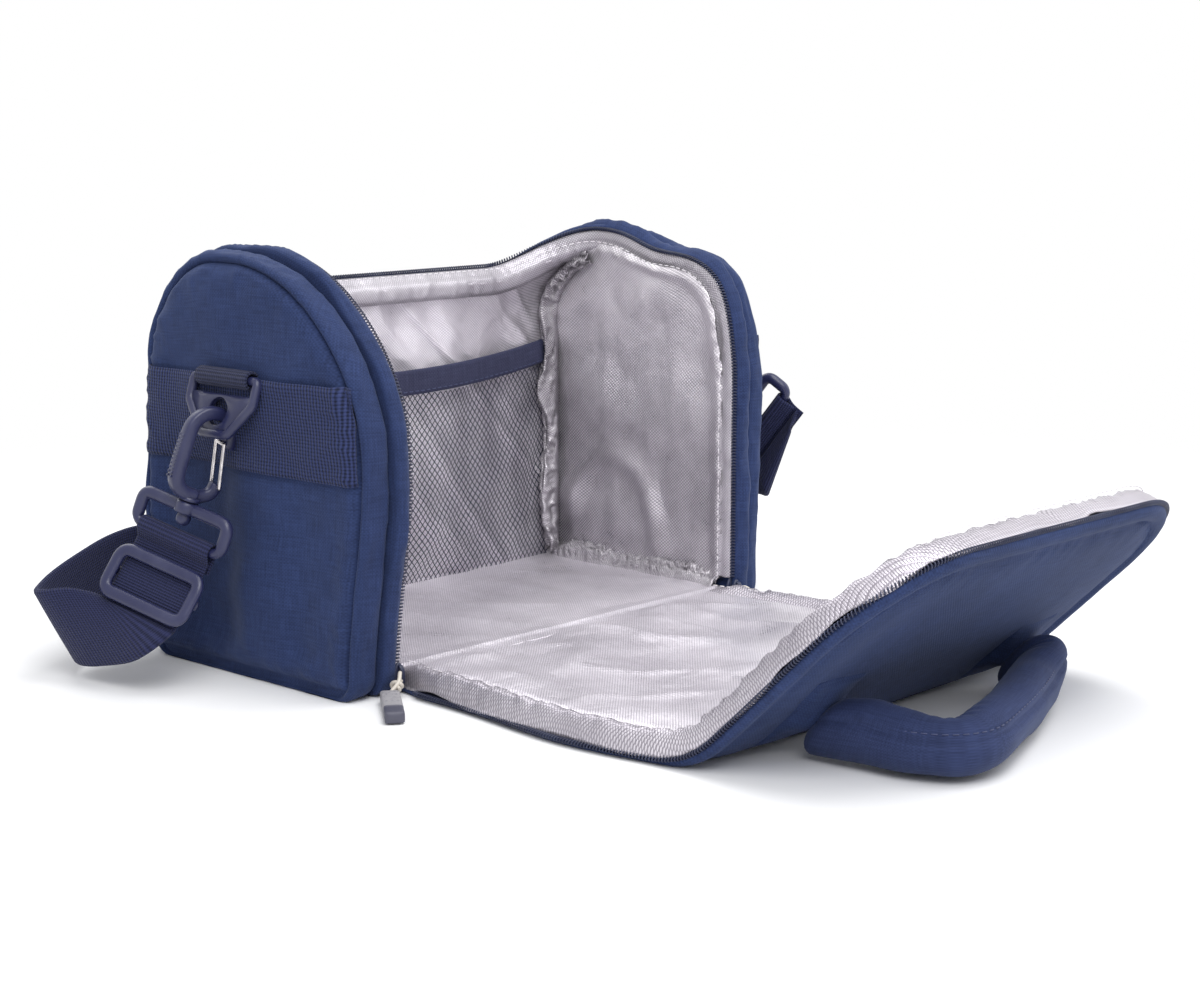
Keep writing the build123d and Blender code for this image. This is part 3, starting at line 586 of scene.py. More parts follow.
# --- padded ends
def face_out(side, y, z):
    """X of an end panel's cloth: a crowned pad that drops into its seam, with a long soft
    valley under the hook, broad waves, and puckers that fade away from the seam."""
    d = np.maximum(inside(y, z) - SEAM_IN, 0)
    p = xyz(y, z, side * 40)
    low = ease(112, 74, z) * ease(0, 14, d)
    valley = bell(y + 30 + (100 - z) * 0.05, 9)
    out = FACE - 2.8 + 4.8 * (1 - np.exp(-d / 2.0)) + 2.2 * ease(0, 55, d)
    out = out - low * (7.5 * ease(-6, 18, y) - 3.0 * ease(24, 58, y))
    out = out - low * (2.0 * valley + 3.0 * ease(-12, -60, y)) + 0.8 * low * ripple(p, 30, 8)
    out = out + 1.2 * ripple(p, 62, 5) * ease(0, 20, d) + 0.4 * ripple(p, 19, 6) * ease(0, 9, d)
    return out + 1.5 * (crease(p, 17, 7) - 0.3) * np.exp(-d / 8) * ease(0, 2, d)


def ringed(profile, closed, seed, swell):
    """Cloth carried round the arch: (inset, X) pairs from its first seam to its last, lumped
    by swell and puckered beside its two seams."""
    inset, x = np.asarray(profile, float).T
    y, z = arch(inset, np.maximum(inset - closed, 0.3))
    x = np.repeat(x[:, None], y.shape[1], 1)
    away = unit(xyz(y, z - FACE_Z))
    p = xyz(x * 2, y, z)
    grow = (0.9 * ripple(p, 38, seed) + 0.8 * (crease(p, 15, seed + 1) - 0.4)) * np.reshape(swell, (-1, 1))
    return xyz(x, y + away[..., 0] * grow, z + away[..., 1] * grow)


def hump(path):
    """0 at both ends of a path and 1 half way along it: a sine of the length run, fattened."""
    s = along(path)
    return np.sin(np.pi * s / s[-1]).clip(0, 1) ** 0.7


def drawn_in(inset, lift, first):
    """Y and Z of an end panel: rings close together beside its seam, then drawn in to a
    middle point."""
    d = np.array([first, 0.8, 1.8, 3.0, 4.5, 6.5, 9.0])
    y, z = arch(inset + d, lift + d)
    r = np.linspace(1, 0, 34)[1:, None]
    return np.concatenate([y, y[-1] * r]), np.concatenate([z, FACE_Z + (z[-1] - FACE_Z) * r])


def end_cover(side):
    """Padded end: a side wall that swells between two grooved seams, then the face panel
    drawn in from its seam to a middle point."""
    wall = rounded([(5.4, BASE - 1.0), (2.6, BASE - 0.7), (1.2, BASE + 0.6), (0.4, BASE + 3.4),
                    (0.4, FACE - 7.0), (0.9, FACE - 3.2), (2.0, FACE - 1.5), (3.4, FACE - 1.2),
                    (4.5, FACE - 2.2), (SEAM_IN, FACE - 3.2)], 1)
    skin = ringed(wall, 4.0, 11 + side, hump(wall))
    fy, fz = drawn_in(SEAM_IN, 1.4, 0.25)
    grid = np.concatenate([skin, xyz(face_out(side, fy, fz), fy, fz)])
    grid = settled(grid * (side, 1, 1))
    grid[..., 2] = np.maximum(grid[..., 2], 0.25)
    outline = np.stack(arch(SEAM_IN, 1.4), 1)
    ahead = unit(np.roll(outline, -1, 0) - np.roll(outline, 1, 0))
    away = xyz(-ahead[:, 1], ahead[:, 0])
    left_over = (along(wall)[-1] - along(wall))[:, None, None]
    pattern = np.concatenate([outline + away * left_over, xyz(fy, fz)])
    return surface(f"end_cover_{side_name(side)}", grid, ring=True, flip=side > 0, merge=True, flat=pattern)


def band_cover(side):
    """Band between the zip and the end panel: a padded roll closed round its own inside."""
    roll = rounded([(1.8, BODY - 2.2), (0.2, BODY - 1.6), (-1.2, BODY + 0.2), (-2.0, BODY + 2.2),
                    (-2.0, BODY + 4.8), (-1.0, BODY + 6.6), (1.6, BASE - 1.3), (5.4, BASE - 1.1)], 1)
    back = [(9.5, BASE - 1.1), (9.5, BODY + 0.7), (7.0, BODY - 0.2), (3.0, BODY - 1.2), roll[0]]
    swell = np.concatenate([hump(roll), np.zeros(len(back))])
    grid = ringed(np.concatenate([roll, back]), 0.0, 31 + side, swell)
    grid = settled(grid * (side, 1, 1))
    grid[..., 2] = np.maximum(grid[..., 2], 0.25)
    return surface(f"band_cover_{side_name(side)}", grid, ring=True, flip=side < 0, merge=True)


def end_band(side):
    """Webbing across the end panel, lying on its cloth and turned into the seams."""
    y = np.linspace(-61.6, 61.6, 110)
    w = np.linspace(-19, 19, 22)
    edge = np.abs(w) / 19
    yy, ww = np.meshgrid(y, w, indexing="ij")
    zz = BAND_Z + ww
    x = face_out(side, yy, zz) + 1.15 - 0.5 * (edge[None] > 0.97)
    x = x + 0.25 * ripple(xyz(yy, zz, 0), 26, 41)
    grid = settled(xyz(side * x, yy, zz))
    flat = np.stack(np.meshgrid(along(grid[:, 11]), w), -1)
    return layer(f"end_band_{side_name(side)}", grid.transpose(1, 0, 2), 1.2, flip=side > 0, flat=flat)


# --- stitches, zips
def stitches(name, path, up, length=2.4, gap=1.3, radius=0.26, lift=0.15):
    """A row of thread: short rounded rods laid end to end along a path, half sunk in the cloth."""
    total = along(path)[-1]
    count = int(total / (length + gap))
    p, n = resample(path, 2 * count + 1, up)
    centre, tangent, normal = p[1::2], unit(p[2::2] - p[:-2:2]), unit(n[1::2])
    across = unit(np.cross(tangent, normal))
    ring = circle(6)
    station, size = np.array([-1, -0.8, 0.8, 1]) * length / 2, np.array([0.35, 1, 1, 0.35]) * radius
    verts = (centre[:, None, None] + tangent[:, None, None] * station[None, :, None, None]
             + (across[:, None, None] * np.cos(ring)[None, None, :, None]
                + normal[:, None, None] * np.sin(ring)[None, None, :, None]) * size[None, :, None, None]
             + normal[:, None, None] * lift)
    a, b = np.meshgrid(np.arange(3), np.arange(6), indexing="ij")
    quad = xyz(a * 6 + b, a * 6 + (b + 1) % 6, (a + 1) * 6 + (b + 1) % 6, (a + 1) * 6 + b)
    ends = np.array([[0, 1, 2, 3], [0, 3, 4, 5], [21, 20, 19, 18], [23, 22, 21, 18]])
    quad = np.concatenate([quad.reshape(-1, 4)[:, ::-1], ends])
    quads = (np.arange(count)[:, None, None] * 24 + quad[None]).reshape(-1, 4)
    return make(name, verts.reshape(-1, 3), quads)


def coil(name, path, across, up, pitch=1.45, radius=1.0, rod=0.34):
    """Zip coil: a rod wound round the path, 10 points a turn, flattened against the tape."""
    turns = int(along(path)[-1] / pitch)
    p, a, n = resample(path, turns * 10 + 1, across, up)
    t = np.arange(len(p)) * TAU / 10
    centre = (p + unit(a) * (np.cos(t) * radius * 1.25)[:, None]
              + unit(n) * (np.sin(t) * radius * 0.8)[:, None])
    along_rod = slope(centre)
    side = unit(np.cross(along_rod, slope(p)))
    other = np.cross(along_rod, side)
    return sweep(name, centre, side, other, round_section(rod, rod, 5))


def tape(name, path, across, up, width=4.2, thick=0.5, shift=-2.6):
    """The woven tape a coil is sewn to."""
    return sweep(name, path + unit(across) * shift, unit(across), unit(up), strip_section(width, thick, 0, 5))


def opening_line(count=700):
    """The zip line on the bag: up the front edge, over the arch, round the corner in plan,
    along the back edge and down the other side.  Gives points, the way out, the way in."""
    turn = np.radians(np.linspace(180, 90, 60))[1:]
    y = np.concatenate([np.full(60, -DEPTH), FRONT_Y + FRONT_R * np.cos(turn), [8, 12]])
    z = np.concatenate([np.linspace(14, FRONT_Z, 60), FRONT_Z + FRONT_R * np.sin(turn), [HEIGHT, HEIGHT]])
    x = np.full(len(y), -(BODY - 2.6))
    bend = np.radians(np.linspace(180, 90, 50))[1:]
    cx = -(BODY - 2.6 - OPEN_R) + OPEN_R * np.cos(bend)
    cy = OPEN_BACK - OPEN_R + OPEN_R * np.sin(bend)
    over = np.sqrt(np.maximum(BACK_R ** 2 - (cy - BACK_Y) ** 2, 0))
    cz = np.where(cy < BACK_Y, HEIGHT, BACK_Z + over)
    half = np.concatenate([xyz(x, y, z), xyz(cx, cy, cz)])
    path = resample(np.concatenate([half, (half * (-1, 1, 1))[::-1]]), count)
    up = arch_up(path[:, 1], path[:, 2])
    path = settled(path)
    across = unit(np.cross(slope(path), up))
    return path - up * 1.2, up, across


# --- body cloth and lining
def open_back(x):
    """Y of the opening's back edge at X."""
    over = np.clip(np.abs(x) - (BODY - 2 - OPEN_R), 0, OPEN_R)
    return OPEN_BACK - OPEN_R + np.sqrt(np.maximum(OPEN_R ** 2 - over ** 2, 0))


def back_sheet(inset, low, margin=0.0, cols=121, rows=120, half=BODY):
    """Points and outward directions of the back wall carried over its shoulder to the opening:
    for each X, equal steps of length from the floor to the opening's edge."""
    x = np.linspace(-half, half, cols)
    r = BACK_R - inset
    end = open_back(x) + margin
    straight = BACK_Z - low
    past = np.where(end > BACK_Y, np.arcsin(np.clip((end - BACK_Y) / BACK_R, -1, 1)), 0)
    arc = r * (np.pi / 2 - past)
    flat = np.maximum(BACK_Y - end, 0)
    s = np.linspace(0, 1, rows)[:, None] * (straight + arc + flat)
    a = np.clip((s - straight) / r, 0, np.pi / 2)
    f = np.maximum(s - straight - r * np.pi / 2, 0)
    y = BACK_Y + r * np.cos(a) - f
    z = np.where(s < straight, low + s, BACK_Z + r * np.sin(a))
    out = xyz(0, np.cos(a), np.sin(a))
    grid = xyz(x, y, z)
    return grid, out, s, straight + arc + flat - s


def back_cover():
    """Outer cloth of the back and roof, swelling between its seams and rolled in at the zip."""
    grid, out, low, high = back_sheet(0.0, 0.6, 2.2)
    edge = np.minimum(BODY - np.abs(grid[..., 0]), high)
    swell = 2.6 * ease(0, 40, edge) * ease(0, 30, low) - 1.8 * np.exp(-edge / 1.6)
    swell = swell + ripple(grid, 70, 51) * ease(0, 30, edge) + 0.5 * crease(grid, 22, 52) * np.exp(-edge / 8)
    return layer("back_cover", settled(grid + out * swell[..., None]), 1.4)


def back_lining():
    """Foil inside the back and roof, loose enough to crumple most near its seams."""
    grid, out, low, high = back_sheet(8.6, PLATE_Z, 0.6, half=BODY - 0.6)
    edge = np.minimum(BODY - np.abs(grid[..., 0]), high)
    x, y, z = np.moveaxis(grid, -1, 0)
    slant = xyz(x + 0.8 * z, 0.5 * y, 0.25 * z)
    sink = 2.2 * ripple(grid, 55, 61) + 1.1 * ripple(grid, 24, 62) + 3.2 * crease(slant, 40, 63) ** 1.5
    sink = sink * ease(-6, 24, edge) + 1.5 * crease(grid, 12, 64) * np.exp(-edge / 10) + 1.2
    sink = np.maximum(sink * ease(0, 12, low + 4), -0.2)
    return layer("back_lining", settled(grid - out * sink[..., None]), 0.5, flip=True)


def end_lining(side):
    """Foil on the inside of one end: a face drawn in to its middle, puckered at its seams,
    with a soft arched dent low down."""
    y, z = drawn_in(8.4, FOIL_IN, 0)
    deep = np.maximum(inside(y, z) - FOIL_IN, 0)
    p = xyz(y, z, 90 * side)
    ring = bell(np.hypot(y - 12, (z - 30) * 0.8) - 27, 5.5) * ease(20, 44, z)
    sink = 0.5 + 2.0 * ripple(p, 58, 71) * ease(0, 25, deep) + 0.7 * ripple(p, 21, 72) * ease(0, 12, deep)
    sink = sink + 3.0 * ring + 1.8 * crease(p, 11, 73) * np.exp(-deep / 6)
    sink = sink + 2.2 * bell(deep - 3, 3)
    sink = sink + 3.0 * crease(xyz(y + 0.7 * z, 0.3 * z, 0), 70, 74) * ease(96, 140, z)
    grid = settled(xyz(side * (BODY - 0.4 - np.maximum(sink, 0)), y, z))
    return surface(f"end_lining_{side_name(side)}", grid, ring=True, flip=side < 0, merge=True, flat=xyz(y, z))


def opening_edge(path, up, across):
    """Foil folded over the wall's edge beside the zip: nearly flat, waved by its stitching,
    and turned back into the bag past the wall."""
    e = np.array([0.8, 1.4, 2.4, 3.8, 5.2, 6.6, 7.8, 8.8, 9.8, 10.8, 11.8, 12.6])
    out = np.array([-0.2, 0.2, 0.4, 0.5, 0.4, -0.2, 0.3, 0.2, -0.6, -2.0, -4.6, -7.5])
    wave = 0.4 * ripple(path, 15, 82) + 0.6 * crease(path, 11, 81)
    grid = path[:, None] - up[:, None] * e[None, :, None] + across[:, None] * out[None, :, None]
    loose = ease(0, 4, e)[None] * wave[:, None]
    grid = grid + (across[:, None] * 0.6 - up[:, None] * 0.8) * loose[..., None]
    return layer("opening_edge", grid, 0.4)


def ruffle(name, path, lean, width=6.0, seed=0):
    """A bunched seam allowance standing off a corner along lean, waving from side to side."""
    path, lean = resample(path, int(along(path)[-1] / 0.9) + 2, np.broadcast_to(lean, path.shape))
    lean = unit(lean)
    side = unit(np.cross(slope(path), lean))
    v = np.linspace(-1, 1, 17)
    ends = np.minimum(along(path), along(path)[-1] - along(path))
    tall = (0.8 + 0.3 * ripple(path, 26, seed)) * (0.25 + 0.75 * ease(0, 18, ends))
    stand = (1 - v ** 2) * width * tall[:, None]
    sway = v * 4.6 + 1.1 * ripple(path, 24, seed + 1)[:, None] * (1 - v ** 2)
    stand = stand + 1.5 * np.sin(v * 8 + 1.2 * ripple(path, 45, seed + 4)[:, None]) * (1 - v ** 4)
    grid = path[:, None] + lean[:, None] * stand[..., None] + side[:, None] * sway[..., None]
    rough = (2.6 * crease(grid * (1, 1, 0.6), 8, seed + 2) + 1.3 * crease(grid, 4.5, seed + 3)) * (1 - v ** 4)
    return layer(name, settled(grid + (side[:, None] + 0.5 * lean[:, None]) * rough[..., None]), 0.5, 0)


def upright_seam(side):
    """Where the back lining meets an end: up the back corner and round its shoulder, and the
    way the seam leans."""
    turn = np.radians(np.linspace(0, 78, 20))[1:]
    y = np.concatenate([np.full(30, BACK_Y + SEAM_R), BACK_Y + SEAM_R * np.cos(turn)])
    z = np.concatenate([np.linspace(12, BACK_Z, 30), BACK_Z + SEAM_R * np.sin(turn)])
    turn = np.concatenate([np.zeros(30), turn])
    return xyz(side * SEAM_X, y, z), unit(xyz(-side, -0.12 * np.cos(turn), -0.12 * np.sin(turn)))


def floor_lining():
    """Foil on the floor: nearly flat over its board, with long shallow creases."""
    x, y = np.meshgrid(np.linspace(-110, 110, 111), np.linspace(-59.5, 58.5, 61), indexing="ij")
    p = xyz(x, y, 0)
    edge = np.minimum(110.5 - np.abs(x), 59 - y)
    front = ease(-60, -40, y)
    long_folds = 1.3 * crease(p * (0.7, 1, 1), 40, 92) * ease(0, 16, edge)
    z = PLATE_Z + front * (0.6 * ripple(p, 60, 91) * ease(0, 20, edge) + long_folds)
    z = z + front * (bell(edge - 4, 3) + 0.6 * crease(p, 12, 93) * np.exp(-edge / 8))
    return layer("floor_lining", settled(xyz(x, y, z)), 0.5)


def base_cover():
    """Outer cloth under the bag, its edges turned up."""
    x, y = np.meshgrid(np.linspace(-BODY, BODY, 91), np.linspace(-60.5, DEPTH - 0.6, 51), indexing="ij")
    p = xyz(x, y, 0)
    edge = np.minimum(BODY - np.abs(x), np.minimum(DEPTH - y, y + 61))
    z = 0.35 + 5.0 * np.exp(-edge / 2.2) + 0.25 * (1 + ripple(p, 40, 95))
    return layer("base_cover", settled(xyz(x, y, z)), 1.2)


# --- flap
ROLL = np.linspace(-20, 320, 3401)
TURN = LEAN * ease(FOLD - 17, FOLD + 17, ROLL)
STEP = ROLL[1] - ROLL[0]
LINE_Y = HINGE_Y - np.cumsum(np.cos(TURN)) * STEP
LINE_Y -= np.interp(0, ROLL, LINE_Y) - HINGE_Y
LINE_Z = FLAP_THICK + np.cumsum(np.sin(TURN)) * STEP
LINE_Z -= np.interp(0, ROLL, LINE_Z) - FLAP_THICK


def flap_half(s):
    """Half the flap's width at s from the hinge: pinched at the hinge, fuller in the front
    panel, and rounded at the free end."""
    wide = FLAP_HALF - 3.5 * ease(26, 0, s) + 7.5 * bell(s - 108, 42)
    over = np.clip(s - (FLAP_LONG - CORNER), 0, CORNER)
    return wide - CORNER + np.sqrt(np.maximum(CORNER ** 2 - over ** 2, 0))


def flap_at(s, x, h):
    """A point of the flap: s from the hinge along its inner face, x across, h up from its
    outer face.  The flap is flat on the ground, then bends up through its fold."""
    turn = np.interp(s, ROLL, TURN)
    y = np.interp(s, ROLL, LINE_Y) + (h - FLAP_THICK) * np.sin(turn)
    z = np.interp(s, ROLL, LINE_Z) + (h - FLAP_THICK) * np.cos(turn)
    return xyz(x, y, z)


def flap_grid():
    """Stations of the flap, closer together at its edges: s, x and distance in from the edge."""
    near = np.array([0, 0.5, 1.1, 1.9, 2.8, 3.9, 5.2, 6.6, 8.0, 9.2, 10.4, 11.8, 13.6, 16, 19, 23])
    s = np.concatenate([np.linspace(0, FLAP_LONG - 25, 129), FLAP_LONG - near[::-1]])
    wide = flap_half(s)[:, None]
    share = np.minimum(1, wide / 60)
    t = np.linspace(-1, 1, 73)[1:-1]
    x = np.concatenate([-wide + near * share, (wide - near[-1] * share) * t, (wide - near * share)[:, ::-1]], 1)
    s = np.repeat(s[:, None], x.shape[1], 1)
    start, flat = FLAP_LONG - CORNER, FLAP_HALF - CORNER
    corner = (s > start) & (np.abs(x) > flat)
    d = np.minimum(flap_half(s) - np.abs(x), FLAP_LONG - s)
    d = np.where(corner, CORNER - np.hypot(np.abs(x) - flat, s - start), d)
    return s, x, np.maximum(d, 0)


def flap_lining(s, x, d):
    """Foil of the flap: up over the padding's edge, a puckered hem, a stitched seam, and a
    loose crumpled middle."""
    h = np.interp(d, [0, 0.8, 2.0, 3.6, 5.5, 7.5, 9.3, 10.4, 11.6, 14, 19, 40],
                  [2.9, 5.8, 8.6, 10.8, 11.8, 11.4, 9.6, 7.6, 8.8, 9.8, 9.4, 8.6])
    p = xyz(x, s, 0)
    slant = xyz(x + s * 0.8, s - x * 0.8, 0)
    hem = bell(d - 5.5, 4.0)
    h = h + hem * (1.7 * crease(slant, 15, 101) - 0.5)
    loose = 1.3 * ripple(p, 58, 102) + 1.7 * crease(p, 66, 103) ** 2 + 0.35 * ripple(p, 20, 104)
    across = crease(xyz(x - 0.9 * s, 0.4 * s, 0), 66, 107)
    h = h + ease(10, 30, d) * loose
    h = h + 2.2 * across * ease(60, 130, s) * ease(12, 26, d)
    h = np.minimum(h, 8.5) * ease(18, 0, s) + h * ease(0, 18, s) + 1.2 * np.exp(-d / 3) * ripple(p, 40, 106)
    wave = (1.1 * ripple(p, 34, 105) * np.exp(-d / 7) + 1.6 * bell(d - 5, 4)) * np.sign(x)
    return flap_at(s, x + wave * (d < 30), h)


def flap_cover(s, x, d):
    """Outer cloth of the flap: a rolled border, a piped seam inside it, and a puffed panel."""
    h = np.interp(d, [0, 0.5, 1.4, 3.2, 5.5, 7.6, 8.7, 9.5, 10.6, 13, 20, 45],
                  [2.4, 0.9, -0.3, -1.1, -1.0, -0.3, 1.2, -0.4, 0.2, -0.7, -1.6, -2.4])
    p = xyz(x, s, 9)
    h = h - 0.9 * ripple(p, 60, 111) * ease(10, 40, d) - 0.5 * crease(p, 18, 112) * np.exp(-np.abs(d - 12) / 6)
    grid = flap_at(s, x, h)
    grid[..., 2] = np.maximum(grid[..., 2], 0.2)
    return grid


def flap_edge(start, lift, out=0.9, count=800):
    """The line round the flap's edge from start on one side to start on the other."""
    end = FLAP_LONG - CORNER
    turn = np.linspace(0, np.pi / 2, 60)[1:]
    s = np.concatenate([np.linspace(start, end, 300), end + CORNER * np.sin(turn)])
    half = xyz(s, -flap_half(s) - out)
    both = resample(np.concatenate([half, (half * (1, -1))[::-1]]), count)
    step = slope(both)
    outward = xyz(-step[:, 1], step[:, 0])
    outward *= np.sign((outward * (both - (FLAP_LONG / 2, 0))).sum(1, keepdims=True))
    path = flap_at(both[:, 0], both[:, 1], lift)
    ahead = flap_at(both[:, 0] + outward[:, 0], both[:, 1] + outward[:, 1], lift)
    up = flap_at(both[:, 0], both[:, 1], lift + 1.0) - path
    return path, unit(ahead - path), unit(up)


def hinge_lining():
    """The foil that crosses the flap's hinge, with a welt along it."""
    x, v = np.meshgrid(np.linspace(-103, 103, 90), np.linspace(0, 1, 31), indexing="ij")
    waved = ripple(xyz(x, v * 20, 0), 26, 171)
    welt = bell(v - 0.55 - 0.04 * waved, 0.09)
    high = 8.55 + (0.5 + 0.3 * waved) * np.sin(np.pi * v) + 0.9 * welt
    return layer("hinge_lining", xyz(x, HINGE_Y + 8 - 18 * v, high), 0.6, flip=True)


# --- handle and straps
GRIP_Y, GRIP_Z = -253.87, 11.39
GRIP_OUT, GRIP_UP = 10.8, 10.4
SEAM_TURN = 0.42


def grip_line(count=170):
    """The padded handle's middle line: out from its roots, round its corners and across."""
    p = [(-64, 0), (-61.5, 12), (-59.5, 26), (-58, 36), (-55, 44), (-49, 48.5), (-41, 49), (-28, 45.5),
         (-2, 37.5), (24, 27.5), (50, 15.5), (60, 10), (65, 5), (66, 0)]
    flat = resample(rounded(p, 3), count)
    t = np.linspace(0, 1, count)
    return xyz(flat[:, 0], GRIP_Y - flat[:, 1], GRIP_Z + 2.0 * np.sin(np.pi * t))


def handle_grip():
    """Padded tube: an oval carried along the handle's line, its roots lifted and slanted,
    gathered where it bends, with one lengthwise seam on its outer side. Also gives the line
    of the stitches beside that seam and the way they face."""
    path = grip_line()
    t = slope(path)
    up = np.tile([0.0, 0.0, 1.0], (len(path), 1))
    out = unit(np.cross(t, up))
    s = along(path)
    a = circle(44)
    end = np.minimum(s, s[-1] - s)
    size = (0.9 + 0.12 * ease(0, 26, end))[:, None]
    cos, sin = np.cos(a)[None], np.sin(a)[None]
    bend = (bell(s - 56, 16) + bell(s[-1] - 9 - s, 9))[:, None]
    seam = bell((a - SEAM_TURN + np.pi) % TAU - np.pi, 0.09)[None]
    r = 1 - 0.13 * seam - 0.03 * bend * (1 + np.sin(s * 0.9)[:, None]) * (cos < 0)
    grid = (path[:, None] + out[:, None] * (cos * r * GRIP_OUT * size)[..., None]
            + up[:, None] * (sin * r * GRIP_UP * size)[..., None])
    grid = grid + unit(grid - path[:, None]) * (0.5 * ripple(grid, 30, 121))[..., None]
    root = ease(40, 0, end)[:, None]
    grid[..., 2] += (0.3 * (grid[..., 2] - GRIP_Z) + 2.5) * root
    grid[..., 1] -= 0.6 * (grid[..., 2] - GRIP_Z) * root / math.tan(LEAN)
    grid[..., 2] = np.maximum(grid[..., 2], 0.3)
    turn = np.linspace(0.25, np.pi / 2, 7)[:, None, None]
    cap, tip = np.cos(turn), np.sin(turn) * 8.5
    first = path[0] + (grid[0] - path[0])[None] * cap - t[0] * tip
    last = path[-1] + (grid[-1] - path[-1])[None] * cap + t[-1] * tip
    grid = np.concatenate([first[::-1], grid, last])
    c, s = math.cos(SEAM_TURN + 0.26), math.sin(SEAM_TURN + 0.26)
    sewn = path + out * (c * GRIP_OUT * size) + up * (s * GRIP_UP * size)
    facing = out * c + up * s
    return surface("handle_grip_cloth", grid, ring=True, merge=True), sewn[12:-12], facing[12:-12]


def root_patch(x0):
    """Stitched-down cloth patch that holds one end of the handle, its middle lifted by it."""
    u, v = np.meshgrid(np.linspace(-15, 15, 31), np.linspace(-21, 21, 41), indexing="ij")
    edge = np.minimum(15 - np.abs(u), 21 - np.abs(v))
    lift = 0.9 + 1.3 * ease(0, 3, edge) + 0.3 * ripple(xyz(u, v, x0), 14, 131)
    lift = lift + 6.5 * np.exp(-(u ** 2 + v ** 2) / 11 ** 2) * ease(0, 5, edge)
    return layer(f"handle_patch_{side_name(x0)}", flap_at(FOLD + 26 + v, x0 + u, -lift), 1.2, 0)


# Points of the shoulder strap's middle line, each with the direction across the webbing
STATIONS = np.array([
    (-176.35, 12.16, 32.41, 0, 0, 0), (-180, 17, 29, 0, .86, .50), (-183, 25, 27, -.12, .68, .72),
    (-186, 34, 26, -.25, .48, .84), (-189, 44, 24, -.36, .30, .88), (-189, 53, 23, -.42, .16, .88),
    (-183, 61, 23, -.42, .10, .90), (-173, 67, 26, -.34, .10, .92), (-158, 72, 30, -.22, .10, .95),
    (-142, 77, 34, -.12, .08, .98), (-124, 79, 36, -.05, .05, 1), (-90, 76, 33, 0, 0, 1),
    (-30, 71.5, 27, 0, 0, 1), (40, 71.5, 24, 0, 0, 1), (95, 76, 25, 0, 0, 1), (128, 82, 27, 0, 0, 1),
    (152, 72, 33, 0, 0, 1), (167, 48, 44, 0, -.05, 1), (172, 18, 55, 0, -.15, .98),
    (174, -14, 60, 0, -.25, .96), (173, -37, 60, 0, -.34, .94), (168, -45, 60, 0, -.34, .94),
    (163, -49, 62, 0, -.42, .90), (165.49, -47.79, 74.80, 0, 0, 0)])


def loop_frame(boss, up, width):
    """Origin, width, up and outward directions of a swivel loop, from the middle of its boss."""
    up = unit(up)
    across = unit(np.asarray(width) - up * np.dot(width, up))
    return np.asarray(boss, float), across, up, np.cross(across, up)


LOOPS = {-1: loop_frame((-155.80, 5.64, 74.95), (0.27, -0.19, 0.95), (0.22, -0.94, -0.25)),
         1: loop_frame((157.91, -31.96, 88.40), (-0.34, 0.71, 0.61), (0, 0.64, -0.77))}


def long_strap():
    """Shoulder strap: two plies of webbing carried through its stations, twisting as it goes."""
    place, wide = STATIONS[:, :3], STATIONS[:, 3:].copy()
    wide[0], wide[-1] = -LOOPS[-1][1], -LOOPS[1][1]
    both = rounded(np.concatenate([place, unit(wide)], 1), 3)
    both = resample(both[:, :3], 420, both[:, 3:])
    path, wide = both[0], unit(both[1])
    through = unit(np.cross(wide, slope(path)))
    return path, wide, through


def strap_tail(side):
    """Webbing folded round the swivel loop's rod and down both sides of itself."""
    origin, across, up, out = LOOPS[side]
    turn = np.radians(np.linspace(205, -25, 26))
    eye = xyz(3.2 * np.cos(turn), -13.2 + 3.2 * np.sin(turn))
    if side < 0:
        end = (math.sin(SLIDE_LEAN) * 29, -19.2 - math.cos(SLIDE_LEAN) * 29)
        flat = np.concatenate([[(-1.9, -22.5), (-2.2, -18.5)], eye, [(1.0, -17.5), (0.1, -19.2), end]])
    else:
        flat = np.concatenate([[(-1.5, -20.0), (-2.3, -17.0)], eye, [(1.0, -17.2), (0.1, -20), (0.1, -25.2)]])
    flat = resample(rounded(flat, 2), 90)
    path = origin + flat[:, :1] * out + flat[:, 1:] * up
    return ribbon(f"strap_tail_{side_name(side)}_webbing", path, across, strip_section(WEBBING, PLY, 0.0, 14))


def ring_tab(side):
    """Webbing folded round the ring's bar and sewn down on the end band."""
    x, z = RING_X, RING_Z
    turn = np.radians(np.linspace(150, -95, 26))
    eye = xyz(x + 3.3 * np.cos(turn), z + 3.3 * np.sin(turn))
    flat = np.concatenate([[(135.9, 116), (135.8, 122), (136.0, 127)], eye,
                           [(137.9, 123.4), (137.4, 119), (137.3, 116)]])
    flat = resample(rounded(flat, 2), 80)
    path = xyz(side * flat[:, 0], RING_Y, flat[:, 1])
    return ribbon(f"ring_tab_{side_name(side)}_webbing", path, (0, 1.0, 0), strip_section(33.6, PLY, 0.0, 14))


# --- fittings
def in_plane(origin, x_dir, y_dir, points, out=0.0):
    """Points drawn in a plane, out along its normal."""
    points = np.asarray(points, float)
    x_dir, y_dir = unit(x_dir), unit(y_dir)
    return (np.asarray(origin, float) + points[:, :1] * x_dir + points[:, 1:2] * y_dir
            + np.cross(x_dir, y_dir) * np.reshape(out, (-1, 1)))


def corners(points, radius, steps=7):
    """A closed path with every corner made an arc that starts radius before it."""
    p = np.asarray(points, float)
    before, after = unit(np.roll(p, 1, 0) - p) * radius, unit(np.roll(p, -1, 0) - p) * radius
    t = np.linspace(0, 1, steps)[None, :, None]
    bend = (p + before)[:, None] * (1 - t) ** 2 + 2 * p[:, None] * t * (1 - t) + (p + after)[:, None] * t ** 2
    return bend.reshape(-1, p.shape[1])


